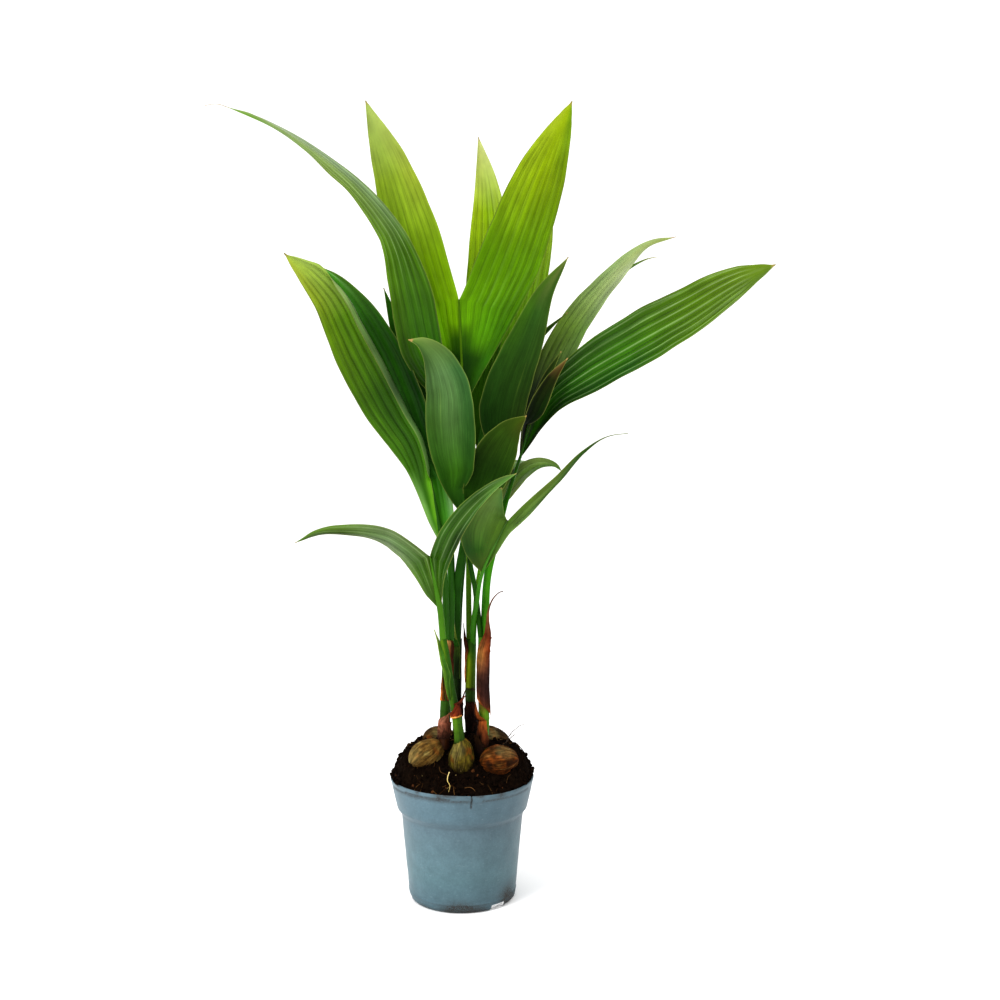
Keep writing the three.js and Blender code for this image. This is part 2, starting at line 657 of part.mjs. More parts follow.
for (const [name, nut] of Object.entries(NUTS)) {
  let husk = makeNut(nut);
  for (const stem of Object.values(STEMS)) {
    if (stem.nut === name) husk = husk.subtract(makeStem(stem, FIT_GAP));
  }
  place(name, husk, name === 'nut_front_middle' ? 'nut_green' : 'nut');
}
for (const [name, stem] of Object.entries(STEMS)) {
  place(name, makeStem(stem), 'stem');
}
for (const [name, sheath] of Object.entries(SHEATHS)) {
  place(name, makeSheath(sheath), sheath.colour);
}
for (const [name, leaf] of Object.entries(LEAVES)) {
  place(name, makeLeaf(leaf), leaf.colour);
}
for (const [name, root] of Object.entries(ROOTS)) {
  place(name, makeRoot(root), 'root');
}

export default potted_palm;
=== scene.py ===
import math

import bpy
import numpy as np
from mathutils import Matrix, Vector


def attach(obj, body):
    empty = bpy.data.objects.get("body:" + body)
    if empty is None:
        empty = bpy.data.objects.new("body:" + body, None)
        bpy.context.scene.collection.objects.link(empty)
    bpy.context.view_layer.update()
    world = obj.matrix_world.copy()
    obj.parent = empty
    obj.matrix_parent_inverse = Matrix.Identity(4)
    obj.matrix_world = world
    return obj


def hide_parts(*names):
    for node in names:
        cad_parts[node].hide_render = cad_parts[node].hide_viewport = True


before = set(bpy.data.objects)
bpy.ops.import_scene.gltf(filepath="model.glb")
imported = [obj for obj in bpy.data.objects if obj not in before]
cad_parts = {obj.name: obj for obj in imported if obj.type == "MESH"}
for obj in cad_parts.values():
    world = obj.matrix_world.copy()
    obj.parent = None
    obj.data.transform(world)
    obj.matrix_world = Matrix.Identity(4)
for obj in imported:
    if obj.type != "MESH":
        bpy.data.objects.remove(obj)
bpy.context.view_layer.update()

# Sizes are in millimetres in the CAD frame; MM turns them into Blender's metres.
MM = 0.001
TAU = 2 * math.pi
RNG = np.random.default_rng(11)


# ---- small maths
def unit(a):
    a = np.asarray(a, float)
    return a / np.maximum(np.linalg.norm(a, axis=-1, keepdims=True), 1e-9)


def smooth(x):
    x = np.clip(x, 0, 1)
    return x * x * (3 - 2 * x)


def lerp(a, b, t):
    return a + (b - a) * t


def hump(x, width):
    return np.exp(-((x / width) ** 2))


def round_angles(count):
    return np.arange(count) * TAU / count


def stretched(values, u):
    """Evenly spaced values, read at u between 0 and 1."""
    return np.interp(u, np.linspace(0, 1, len(values)), values)


def noise(p, seed=0):
    """Smooth noise between -1 and 1 at points (..., 3)."""
    cell = np.floor(p).astype(np.int64)
    f = p - cell
    f = f * f * (3 - 2 * f)
    total = 0
    for corner in np.ndindex(2, 2, 2):
        q = cell + corner
        h = q[..., 0] * 374761393 + q[..., 1] * 668265263 + q[..., 2] * 2147483647 + seed * 97531
        h = ((h ^ (h >> 13)) & 0xFFFFFFF) * 1274126177
        h = (h ^ (h >> 16)) & 0xFFFF
        total = total + np.prod(np.where(corner, f, 1 - f), axis=-1) * (h / 32767.5 - 1)
    return total


def rough(p, octaves=3, seed=0):
    return sum(noise(p * 2**k, seed + k) / 2**k for k in range(octaves))


def grid3(x, y, z=0.0):
    return np.stack(np.broadcast_arrays(x, y, z), -1).astype(float)


def linear(code):
    """Linear colour of a six-digit sRGB code."""
    c = np.array([int(code[k:k + 2], 16) for k in (0, 2, 4)]) / 255
    return np.where(c < 0.04045, c / 12.92, ((c + 0.055) / 1.055) ** 2.4)


def placed(stops):
    """Stops as (position, code); plain codes are spaced evenly."""
    return list(zip(np.linspace(0, 1, len(stops)), stops)) if isinstance(stops[0], str) else stops


def shades(stops, t):
    """Colour at t between the stops."""
    stops = placed(stops)
    at = [s[0] for s in stops]
    colours = np.array([linear(s[1]) for s in stops])
    return np.stack([np.interp(t, at, colours[:, k]) for k in range(3)], -1)


def paired(stops, u, v, soft=0.16):
    """Colour along u; a stop is one code, or codes "inner/outer" or "inner/middle/outer" across v."""
    parts = [(at, code.split("/")) for at, code in placed(stops)]
    inner, middle, outer = (shades([(at, p[min(k * len(p) // 2, len(p) - 1)]) for at, p in parts], u)
                            for k in range(3))
    two = np.interp(u, [at for at, _ in parts], [len(p) < 3 for _, p in parts])[..., None]
    step = smooth((v - 0.5 + soft / 2) / soft)[..., None]
    low, high = (smooth((v - a) / 0.38)[..., None] for a in (0.12, 0.5))
    return lerp(lerp(lerp(inner, middle, low), outer, high), lerp(inner, outer, step), two)


def dense(points, per=40):
    """Points on the centripetal Catmull-Rom curve that the CAD part uses."""
    p = np.asarray(points, float)
    p = np.vstack([2 * p[0] - p[1], p, 2 * p[-1] - p[-2]])
    out = []
    for a, b, c, d in zip(p, p[1:], p[2:], p[3:]):
        d0, d1, d2 = (max(np.linalg.norm(q - r) ** 0.5, 1e-4) for q, r in ((b, a), (c, b), (d, c)))
        m1 = d1 * ((b - a) / d0 - (c - a) / (d0 + d1) + (c - b) / d1)
        m2 = d1 * ((c - b) / d1 - (d - b) / (d1 + d2) + (d - c) / d2)
        t = np.linspace(0, 1, per, endpoint=False)[:, None]
        out.append(b + m1 * t + (3 * (c - b) - 2 * m1 - m2) * t**2 + (2 * (b - c) + m1 + m2) * t**3)
    return np.vstack(out + [p[-2:-1]])


def run_of(path):
    """The distance along a path at each of its points."""
    return np.concatenate([[0], np.cumsum(np.linalg.norm(np.diff(path, axis=0), axis=1))])


def spaced(points, count):
    p = dense(points)
    s = run_of(p)
    at = np.linspace(0, s[-1], count)
    return np.stack([np.interp(at, s, p[:, k]) for k in range(3)], 1)


# ---- closed shells
class Shell:
    """A closed surface. grain holds millimetres along, millimetres across and a pleat phase.
    Its wear holds dryness, spots and matt-ness (on the pot, soil dust and painted shade), and tone the
    colour, each per vertex."""

    def __init__(self, co, faces, u, v, grain):
        self.co, self.faces, self.u, self.v, self.grain = co, faces, u, v, grain
        self.wear_and_shade = np.zeros((len(co), 3))
        self.tone = np.full((len(co), 3), 0.5)
        self.detail = np.ones(len(co))


def quads(rows, cols, wrap=False):
    i, j = np.meshgrid(np.arange(rows - 1), np.arange(cols if wrap else cols - 1), indexing="ij")
    a, b = i * cols + j, i * cols + (j + 1) % cols
    return np.stack([a, b, b + cols, a + cols], -1).reshape(-1, 4)


def closed(rows, n):
    """Faces of a wall of rings with a fan on each end; the two end points come last."""
    k = np.arange(n)
    after, last = (k + 1) % n, (rows - 1) * n
    foot = np.stack([np.full(n, rows * n), after, k], -1)
    head = np.stack([np.full(n, rows * n + 1), last + k, last + after], -1)
    return [quads(rows, n, True), foot, head]


def sheet(grid, thickness, phase=0.0, v=None):
    """A closed thin sheet around a grid of points; side 0 faces along x across."""
    rows, cols = grid.shape[:2]
    normal = unit(np.cross(np.gradient(grid, axis=0), np.gradient(grid, axis=1)))
    off = normal * np.broadcast_to(thickness, grid.shape[:2])[..., None] / 2
    co = np.concatenate([(grid + off).reshape(-1, 3), (grid - off).reshape(-1, 3)])
    back = rows * cols
    top = quads(rows, cols)[:, ::-1]
    ids = np.arange(back).reshape(rows, cols)
    loop = np.concatenate([ids[:-1, 0], ids[-1, :-1], ids[:0:-1, -1], ids[0, :0:-1]])
    after = np.roll(loop, -1)
    rim = np.stack([loop, loop + back, after + back, after], -1)[:, ::-1]
    u = np.broadcast_to(np.linspace(0, 1, rows)[:, None], (rows, cols))
    v = np.broadcast_to(np.linspace(0, 1, cols) if v is None else v, (rows, cols))
    along = np.broadcast_to(run_of(grid[:, cols // 2])[:, None], (rows, cols))
    width = np.linalg.norm(grid[:, -1] - grid[:, 0], axis=1)[:, None]
    grain = np.stack(np.broadcast_arrays(along, width * (v - 0.5), phase), -1).reshape(-1, 3)
    shell = Shell(co, [top, quads(rows, cols) + back, rim], np.tile(u.ravel(), 2), np.tile(v.ravel(), 2),
                  np.tile(grain, (2, 1)))
    shell.side = np.repeat([0, 1], back)
    shell.normal = normal
    return shell


def tube(path, radius, sides=8, start=(1.0, 0, 0)):
    """A closed tube; radius is one number, one per ring, or one per ring and side."""
    n = len(path)
    along = unit(np.gradient(path, axis=0))
    side, s = np.empty_like(path), np.array(start, float)
    for i in range(n):
        s = unit(s - along[i] * (s @ along[i]))
        side[i] = s
    other = np.cross(along, side)
    angle = round_angles(sides)
    r = np.asarray(radius, float)
    r = np.broadcast_to(r.reshape(-1, 1) if r.ndim < 2 else r, (n, sides))[..., None]
    ring = side[:, None] * np.cos(angle)[:, None] + other[:, None] * np.sin(angle)[:, None]
    co = np.vstack([(path[:, None] + r * ring).reshape(-1, 3), path[:1], path[-1:]])
    u = np.append(np.repeat(np.linspace(0, 1, n), sides), [0, 1])
    v = np.append(np.tile(angle / TAU, n), [0, 0])
    s = np.append(np.repeat(run_of(path), sides), [0, run_of(path)[-1]])
    grain = np.stack([s, v * TAU * float(np.mean(r)), 0 * s], -1)
    return Shell(co, closed(n, sides), u, v, grain)


def lathe(profile, angles, wobble):
    """A closed turned shell from a profile that starts and ends on the axis."""
    profile, n = np.asarray(profile, float), len(angles)
    r, z, a = profile[1:-1, :1], profile[1:-1, 1:], angles[None, :]
    r, z = wobble(r, z, a)
    co = grid3(r * np.cos(a), r * np.sin(a), z).reshape(-1, 3)
    ends = np.array([[0, 0, profile[0, 1]], [0, 0, profile[-1, 1]]])
    rows = len(profile) - 2
    co = np.vstack([co, ends])
    v = np.append(np.tile(angles / TAU, rows), [0, 0])
    u = np.append(np.repeat(np.linspace(0, 1, rows), n), [0, 1])
    grain = np.stack([co[:, 2], v * TAU * 55, 0 * v], -1)
    return Shell(co, closed(rows, n), u, v, grain)


ICO = [(0, 1, 1.618), (0, -1, 1.618), (0, 1, -1.618), (0, -1, -1.618), (1, 1.618, 0), (-1, 1.618, 0),
       (1, -1.618, 0), (-1, -1.618, 0), (1.618, 0, 1), (1.618, 0, -1), (-1.618, 0, 1), (-1.618, 0, -1)]
ICO_FACES = [(0, 1, 8), (0, 10, 1), (0, 8, 4), (0, 4, 5), (0, 5, 10), (1, 7, 6), (1, 6, 8), (1, 10, 7),
             (8, 6, 9), (8, 9, 4), (4, 9, 2), (4, 2, 5), (5, 2, 11), (5, 11, 10), (10, 11, 7),
             (7, 11, 3), (7, 3, 6), (6, 3, 9), (9, 3, 2), (2, 3, 11)]


def ball(level):
    """A unit icosphere's points and triangles."""
    points, faces = [tuple(unit(p)) for p in ICO], ICO_FACES
    for _ in range(level):
        halves, cut = {}, []

        def middle(a, b):
            key = (min(a, b), max(a, b))
            if key not in halves:
                halves[key] = len(points)
                points.append(tuple(unit(np.add(points[a], points[b]))))
            return halves[key]

        for a, b, c in faces:
            ab, bc, ca = middle(a, b), middle(b, c), middle(c, a)
            cut += [(a, ab, ca), (b, bc, ab), (c, ca, bc), (ab, bc, ca)]
        faces = cut
    return np.array(points), np.array(faces)


def clods(centres, sizes, level, seed, squash=0.75):
    """Many small irregular lumps in one shell."""
    points, faces = ball(level)
    n, m = len(centres), len(points)
    turn = np.random.default_rng(seed).normal(size=(n, 3, 3))
    turn = np.linalg.qr(turn)[0]
    turn[np.linalg.det(turn) < 0, 0] *= -1
    lumps = noise(points[None] * 1.7 + np.arange(n)[:, None, None] * 7.3, seed)
    shape = points[None] * (1 + 0.45 * lumps)[..., None]
    co = np.einsum("nij,nmj->nmi", turn, shape * [1, squash, 0.85]) * sizes[:, None, None] + centres[:, None]
    faces = (faces[None] + (np.arange(n) * m)[:, None, None]).reshape(-1, 3)
    co = co.reshape(-1, 3)
    return Shell(co, [faces], np.repeat(np.arange(n) / n, m), np.zeros(n * m), co)


# ---- pieces
def new_object(name, data):
    obj = bpy.data.objects.new(name, data)
    bpy.context.scene.collection.objects.link(obj)
    return obj


def piece(name, shells, material, slot, *nodes):
    """One visible object from closed shells; it stands for the given CAD nodes."""
    corners, sizes, start = [], [], 0
    for shell in shells:
        for f in shell.faces:
            corners.append(f.ravel() + start)
            sizes.append(np.full(len(f), f.shape[1]))
        start += len(shell.co)
    corners, sizes = np.concatenate(corners), np.concatenate(sizes)
    mesh = bpy.data.meshes.new(name)
    mesh.vertices.add(start)
    mesh.vertices.foreach_set("co", (np.vstack([s.co for s in shells]) * MM).ravel())
    mesh.loops.add(len(corners))
    mesh.loops.foreach_set("vertex_index", corners.astype(np.int32))
    mesh.polygons.add(len(sizes))
    mesh.polygons.foreach_set("loop_start", (np.cumsum(sizes) - sizes).astype(np.int32))
    mesh.polygons.foreach_set("use_smooth", np.ones(len(sizes), bool))
    mesh.update(calc_edges=True)
    for key in ("grain", "wear_and_shade"):
        made = mesh.attributes.new(key, "FLOAT_VECTOR", "POINT")
        values = np.vstack([getattr(s, key) for s in shells])
        made.data.foreach_set("vector", values.astype(np.float32).ravel())
    made = mesh.attributes.new("tone", "FLOAT_COLOR", "POINT")
    tone = np.clip(np.vstack([s.tone for s in shells]), 0, 1)
    tone = np.c_[tone, np.concatenate([s.detail for s in shells])]
    made.data.foreach_set("color", tone.astype(np.float32).ravel())
    mesh.materials.append(material)
    obj = new_object(name, mesh)
    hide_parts(*nodes)
    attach(obj, "root")
    return obj


# ---- materials
class Nodes:
    """A short way to write a material's nodes."""

    def __init__(self, name):
        self.material = bpy.data.materials.new(name)
        self.material.use_nodes = True
        self.tree = self.material.node_tree
        self.tree.nodes.clear()

    def put(self, socket, value):
        if isinstance(value, bpy.types.NodeSocket):
            self.tree.links.new(value, socket)
        else:
            socket.default_value = value

    def add(self, kind, out=0, inputs=(), **settings):
        node = self.tree.nodes.new("ShaderNode" + kind)
        for key, value in settings.items():
            setattr(node, key, value)
        for key, value in dict(inputs).items():
            self.put(node.inputs[key], value)
        return node.outputs[out]

    def math(self, operation, a, b=0.0, clamp=False):
        return self.add("Math", inputs={0: a, 1: b}, operation=operation, use_clamp=clamp)

    def plus(self, a, b, clamp=False):
        return self.math("ADD", a, b, clamp)

    def product(self, a, b, clamp=False):
        return self.math("MULTIPLY", a, b, clamp)

    def times(self, vector, factors):
        return self.add("VectorMath", inputs={0: vector, 1: factors}, operation="MULTIPLY")

    def mix(self, factor, a, b, blend="MIX"):
        return self.add("Mix", 2, {0: factor, 6: a, 7: b}, data_type="RGBA", blend_type=blend)

    def span(self, value, lo, hi, to_lo=0.0, to_hi=1.0):
        return self.add("MapRange", inputs={0: value, 1: lo, 2: hi, 3: to_lo, 4: to_hi})

    def noise(self, vector, scale, detail=3.0, roughness=0.5):
        return self.add("TexNoise", inputs={
            "Vector": vector, "Scale": scale, "Detail": detail, "Roughness": roughness})

    def level(self, value):
        return self.add("CombineColor", inputs={0: value, 1: value, 2: value})

    def shaded(self, colour, shade):
        return self.mix(1.0, colour, self.level(shade), "MULTIPLY")

    def attribute(self, name, out="Vector"):
        return self.add("Attribute", out, attribute_name=name)

    def bump(self, height, distance, strength=1.0):
        return self.add("Bump", inputs={"Height": height, "Distance": distance, "Strength": strength})

    def surface(self, shader):
        out = self.tree.nodes.new("ShaderNodeOutputMaterial")
        self.tree.links.new(shader, out.inputs["Surface"])
        return self.material

    def skin(self, colour, roughness, normal, specular, through=0.0, glow=None):
        """A glossy surface that may let some light through, tinted by glow."""
        front = self.add("BsdfPrincipled", inputs={
            "Base Color": colour, "Roughness": roughness, "Normal": normal, "Specular IOR Level": specular})
        if not through:
            return self.surface(front)
        glow = colour if glow is None else glow
        back = self.add("BsdfTranslucent", inputs={"Color": glow, "Normal": normal})
        return self.surface(self.add("MixShader", inputs={0: through, 1: front, 2: back}))


def leaf_material(name, specular, through, roughness=0.36):
    """Pleated leaf: fine parallel veins, streaks, dry tips and spots, light coming through."""
    g = Nodes(name)
    grain, wear_and_shade = g.attribute("grain"), g.attribute("wear_and_shade")
    dry, spots, matt = (g.add("SeparateXYZ", k, {0: wear_and_shade}) for k in range(3))
    streak = g.noise(g.times(grain, (0.014, 0, 3.0)), 1.0, 4, 0.65)
    patch = g.noise(g.times(grain, (0.05, 0.09, 0)), 1.0, 3, 0.5)
    fine = g.noise(g.times(grain, (0.02, 0, 11.0)), 1.0, 2, 0.5)
    cell = g.noise(g.times(grain, (1.1, 1.9, 0)), 1.0, 2, 0.6)
    detail = g.attribute("tone", "Alpha")
    streak, fine, cell = (g.plus(g.product(g.math("SUBTRACT", k, 0.5), detail), 0.5)
                          for k in (streak, fine, cell))
    tone = g.attribute("tone", "Color")
    shade = g.product(g.span(streak, 0.25, 0.75, 0.74, 1.26), g.span(patch, 0.3, 0.7, 0.88, 1.12))
    shade = g.product(shade, g.span(fine, 0.3, 0.7, 0.82, 1.18))
    shade = g.product(shade, g.span(cell, 0.3, 0.7, 0.95, 1.05))
    colour = g.shaded(tone, shade)
    pale = g.mix(0.4, colour, (0.4, 0.48, 0.1, 1))
    colour = g.mix(g.span(streak, 0.62, 0.85, 0.0, 0.35), colour, pale)
    speck = g.add("TexVoronoi", inputs={"Vector": g.times(grain, (0.55, 0.8, 0)), "Scale": 0.55})
    speck = g.product(g.span(speck, 0.13, 0.05), spots, True)
    colour = g.mix(speck, colour, (0.12, 0.075, 0.02, 1))
    husk = g.mix(g.span(fine, 0.3, 0.7), (0.2, 0.115, 0.035, 1), (0.5, 0.36, 0.14, 1))
    crisp = g.span(g.plus(dry, g.product(g.math("SUBTRACT", cell, 0.5), 0.7)), 0.35, 0.65)
    colour = g.mix(crisp, colour, husk)
    rough_at = g.plus(g.span(cell, 0.3, 0.7, roughness - 0.05, roughness + 0.07), g.product(matt, 0.22))
    rough_at = g.plus(rough_at, g.product(crisp, 0.25), True)
    normal = g.bump(g.plus(g.product(fine, 0.5), g.product(cell, 0.3)), 0.0001, 0.35)
    glow = g.mix(1.0, colour, (1.2, 1.15, 0.3, 1), "MULTIPLY")
    return g.skin(colour, rough_at, normal, specular, through, glow)


def fibre_material(name, roughness, stretch=(0.06, 2.4, 0), depth=0.0004, contrast=0.3, specular=0.3,
                   through=0.0, fleck=(0.3, 0.2, 0.1, 1), fleck_at=(0.64, 0.78)):
    """Husk, sheath, stem, root or soil: fibres along the grain, flecks and uneven gloss."""
    g = Nodes(name)
    grain, tone, wear_and_shade = g.attribute("grain"), g.attribute("tone", "Color"), g.attribute("wear_and_shade")
    dry = g.add("SeparateXYZ", 0, {0: wear_and_shade})
    strand = g.noise(g.times(grain, stretch), 1.0, 4, 0.65)
    blotch = g.noise(grain, 0.22, 3, 0.55)
    tiny = g.noise(grain, 2.2, 3, 0.7)
    shade = g.product(g.span(strand, 0.25, 0.75, 1 - contrast, 1 + contrast),
                   g.span(blotch, 0.3, 0.7, 1 - contrast * 0.6, 1 + contrast * 0.6))
    shade = g.product(shade, g.span(tiny, 0.3, 0.7, 0.88, 1.12))
    colour = g.shaded(tone, shade)
    flecked = g.product(g.span(tiny, *fleck_at, 0, 0.8), g.plus(dry, 0.25), True)
    colour = g.mix(flecked, colour, fleck)
    rough_at = g.span(tiny, 0.3, 0.7, roughness - 0.08, roughness + 0.08)
    height = g.plus(strand, g.product(tiny, 0.5))
    normal = g.bump(height, depth, 0.8)
    return g.skin(colour, rough_at, normal, specular, through)


def pot_material():
    """Thin grey-blue recycled plastic: cloudy mottling, fine scuffs, soil dust where it touched, and painted
    shade in the crack, under the steps and inside the rim.
    """
    g = Nodes("pot_plastic")
    place = g.times(g.add("TexCoord", "Object"), (1000, 1000, 1000))
    tone, wear_and_shade = g.attribute("tone", "Color"), g.attribute("wear_and_shade")
    dirt_and_shade = g.add("SeparateXYZ", 0, {0: wear_and_shade})
    cloud = g.noise(place, 0.07, 4, 0.6)
    mottle = g.noise(place, 0.5, 4, 0.65)
    scuff = g.noise(g.times(place, (0.25, 0.25, 1.6)), 0.8, 4, 0.7)
    grit = g.noise(place, 1.7, 3, 0.7)
    shade = g.product(g.span(cloud, 0.3, 0.7, 0.9, 1.1), g.span(mottle, 0.3, 0.7, 0.9, 1.1))
    colour = g.shaded(tone, shade)
    colour = g.mix(g.span(scuff, 0.62, 0.78, 0, 0.35), colour, (0.42, 0.5, 0.55, 1))
    # Soil dust, with painted shade in the crack, under the steps and inside the rim.
    soiled_and_shaded = g.product(dirt_and_shade, g.span(grit, 0.36, 0.6, 0.05, 1.25), True)
    colour = g.mix(soiled_and_shaded, colour, (0.035, 0.026, 0.02, 1))
    rough_at = g.plus(g.span(mottle, 0.3, 0.7, 0.34, 0.46), g.product(soiled_and_shaded, 0.4), True)
    height = g.plus(g.product(scuff, 0.4), g.plus(mottle, g.product(soiled_and_shaded, 0.8)))
    return g.skin(colour, rough_at, g.bump(height, 0.00025, 0.6), 0.25)


LEAF_YOUNG = leaf_material("leaf_young", 0.07, 0.35)
LEAF = leaf_material("leaf_green", 0.12, 0.18, 0.27)
LEAF_OLD = leaf_material("leaf_dark", 0.05, 0.15, 0.42)
STEM = fibre_material("stem_skin", 0.42, (0.05, 1.6, 0), 0.0002, 0.2, 0.1, 0.1, (0.08, 0.05, 0.01, 1))
SHEATH_GREEN = fibre_material("sheath_skin", 0.5, (0.05, 1.9, 0), 0.0003, 0.25, 0.1, 0.2)
SHEATH_DRY = fibre_material("sheath_papery", 0.72, (0.05, 2.2, 0), 0.0005, 0.5, 0.06, 0.2,
                            (0.02, 0.01, 0.006, 1))
HUSK = fibre_material("nut_husk", 0.72, (0.09, 3.0, 0), 0.0004, 0.65, 0.05, 0, (0.3, 0.24, 0.09, 1))
SOIL = fibre_material("compost", 0.9, (0.9, 0.9, 0.9), 0.0005, 0.6, 0.02, 0, (0.06, 0.03, 0.015, 1))
ROOT = fibre_material("root_skin", 0.7, (0.2, 1.5, 0), 0.0002, 0.25)


# ---- pot
POT_HEIGHT, RIM = 112.0, 65.0
WALL = 1.2
CRACK_ANGLE, CRACK_LENGTH = -1.418, 13.0
DRAINS, DRAIN_WIDTH, DRAIN_HEIGHT, DRAIN_TURN = 3, 14.0, 4.5, math.radians(-47.4)
# The drain cutter reaches between these two radii and starts under the foot.
CUTTER_REACH, CUTTER_FOOT = (42.6, 54.6), -3
# The pot's colour runs from painted light at its left to painted shade at its right, times a slight tint.
POT_LIT_LEFT, POT_SHADED_RIGHT, POT_TINT = 1.2, 0.88, [1.04, 0.96, 0.93]
OUTSIDE = [
    (0, 0.9), (20, 0.9), (38, 0.7), (42, 0), (44.6, 0), (46.1, 0.35), (47.2, 1.1), (48.1, 2.4),
    (48.6, 4), (48.9, 6.4), (49, 7.2), (49.35, 7.7), (49.35, 8.4), (49.1, 8.9), (49.15, 10),
    (50.2, 22), (51.3, 34), (52.3, 46), (53.3, 57), (54.3, 68), (55, 76), (55.3, 78.2),
    (55.8, 79.6), (56.9, 81.4), (58.2, 83.2), (59, 84.2), (59.35, 85.2), (59.7, 87), (60.8, 92),
    (62.2, 99), (63.4, 105), (64.2, 108.6), (64.5, 109.4), (64.75, 110.2), (64.85, 111.1),
    (64.7, 111.75), (64.2, 112)]
POT_TONES = [(0, "344c54"), (6, "465f69"), (30, "4c6870"), (60, "4e6770"), (80, "4c626c"), (90, "4b646f"),
             (112, "4e6671")]


def fill(profile, step):
    """More points on a profile, at most a step apart."""
    out = [profile[0]]
    for a, b in zip(profile, profile[1:]):
        n = max(1, math.ceil(math.dist(a, b) / step))
        out += [(lerp(a[0], b[0], k / n), lerp(a[1], b[1], k / n)) for k in range(1, n + 1)]
    return out


def pot_form(r, z, a):
    """The soft uneven form of a thin pot that has been handled, with one short crack in its rim."""
    place = grid3(np.cos(a) * 2, np.sin(a) * 2, z * 0.03)
    high = smooth(z / POT_HEIGHT)
    r = r * (1 + high * (0.006 * np.cos(2 * a + 0.7) + 0.004 * noise(place, 3))) + 0.18 * noise(place * 3, 5)
    z = z + smooth((z - 95) / 17) * (0.5 * np.cos(2 * a - 1.1) + 0.35 * np.sin(3 * a + 0.4))
    off = (a - CRACK_ANGLE % TAU) * RIM
    wander = 0.8 * np.sin((POT_HEIGHT - z) * 0.45)
    above = z - POT_HEIGHT + CRACK_LENGTH
    in_crack = hump(off - wander, 0.42) * smooth(above / 3)
    step = 0.5 * smooth((off - wander) / 0.6) * np.exp(-np.abs(off) / 9) * smooth(above / 9)
    return r - 0.9 * in_crack + step, z - 1.0 * in_crack * smooth((z - 108) / 3)


def make_pot():
    inside = [(r - WALL, z + (WALL if z < 4 else 0)) for r, z in OUTSIDE[8:-6]]
    inside = [(63.1, 111.75), (62.9, 111.1), *inside[::-1], (44, WALL + 1), (30, WALL + 0.9), (0, WALL + 0.9)]
    spread = np.linspace(0, TAU, 300, endpoint=False)
    near = CRACK_ANGLE % TAU + np.linspace(-3.5, 3.5, 36) / RIM
    angles = np.unique(np.concatenate([spread[np.abs(spread - CRACK_ANGLE % TAU) > 3.6 / RIM], near]))
    shell = lathe(fill(OUTSIDE + inside, 2.0), angles, pot_form)
    x, y, z = shell.co.T
    r, a = np.hypot(x, y), np.arctan2(y, x)
    # Painted light on the pot's left side and painted shade on its right.
    shell.tone = shades(POT_TONES, z) * lerp(POT_LIT_LEFT, POT_SHADED_RIGHT, smooth((x + 45) / 90))[:, None] * POT_TINT
    place = shell.co
    low = smooth(1 - z / 16) * smooth(noise(place * 0.06, 8) * 1.5 + 0.15)
    foot = 1.2 * hump(a + 1.6, 0.24) * smooth(1 - z / 17) + 1.3 * hump(a + 0.58, 0.2) * smooth(1.1 - z / 26)
    rim_dust = 0.7 * smooth((z - 108.5) / 3) * smooth(noise(place * 0.16, 2) * 2.2 - 0.4)
    marks = 0.8 * (hump(a + 1.86, 0.07) + hump(a + 0.98, 0.06)) * smooth((z - 106) / 4)
    # Inside the wall near the rim: soil dust, with painted shade.
    inner = (r < 64) * smooth((z - 104) / 3) * 0.7
    # Along the crack: painted shade.
    crack = hump((a - CRACK_ANGLE) * RIM, 0.7) * smooth((z - POT_HEIGHT + CRACK_LENGTH) / 2)
    # Dark lines under the bead near the foot and under the collar step: painted shade.
    step_shade = 0.35 * hump(z - 7.0, 0.5) + 0.25 * hump(z - 79.0, 0.8)
    # The first wear value holds soil dust and painted shade.
    shell.wear_and_shade[:, 0] = np.clip(0.7 * low + foot + rim_dust + marks + inner + crack + step_shade, 0, 1)
    obj = piece("pot_shell", [shell], pot_material(), "pot", "pot")
    cutter = bpy.data.meshes.new("cutter")
    co, faces = [], []
    for k in range(DRAINS):
        turn = DRAIN_TURN + TAU * k / DRAINS
        c, s = MM * math.cos(turn), MM * math.sin(turn)
        half = DRAIN_WIDTH / 2
        box = [(i, j, h) for i in CUTTER_REACH for j in (-half, half) for h in (CUTTER_FOOT, DRAIN_HEIGHT)]
        n = len(co)
        co += [(i * c - j * s, i * s + j * c, MM * h) for i, j, h in box]
        faces += [tuple(n + q for q in f) for f in
                  ((0, 1, 3, 2), (4, 6, 7, 5), (0, 4, 5, 1), (2, 3, 7, 6), (0, 2, 6, 4), (1, 5, 7, 3))]
    cutter.from_pydata(co, [], faces)
    tool = new_object("cutter", cutter)
    cut = obj.modifiers.new("drains", "BOOLEAN")
    cut.object, cut.operation, cut.solver = tool, "DIFFERENCE", "EXACT"
    bpy.context.view_layer.update()
    graph = bpy.context.evaluated_depsgraph_get()
    done = bpy.data.meshes.new_from_object(obj.evaluated_get(graph))
    obj.modifiers.clear()
    obj.data = done
    bpy.data.objects.remove(tool)


# ---- soil
SOIL_EDGE, SOIL_SIDE, SOIL_TOP, SOIL_RADIUS = 107.5, 114.5, 139.0, 62.4
SOIL_TONES = ["0a0604", "160e08", "100a06", "1c110a"]
# Where the soil is heaped against the stems: x, y, height and radius.
MOUNDS = [(11, 2, 9, 10), (-12, 4, 6, 11), (14, -12, 4, 7), (0, -44, -4, 10), (34, -40, -4.5, 11)]
# Clods on the soil: how many, their least and greatest size, their detail, and whether they lie at the rim.
CLODS = [(620, 1.1, 2.6, 1, False), (2600, 0.4, 1.2, 0, False), (330, 0.8, 2.3, 1, True)]


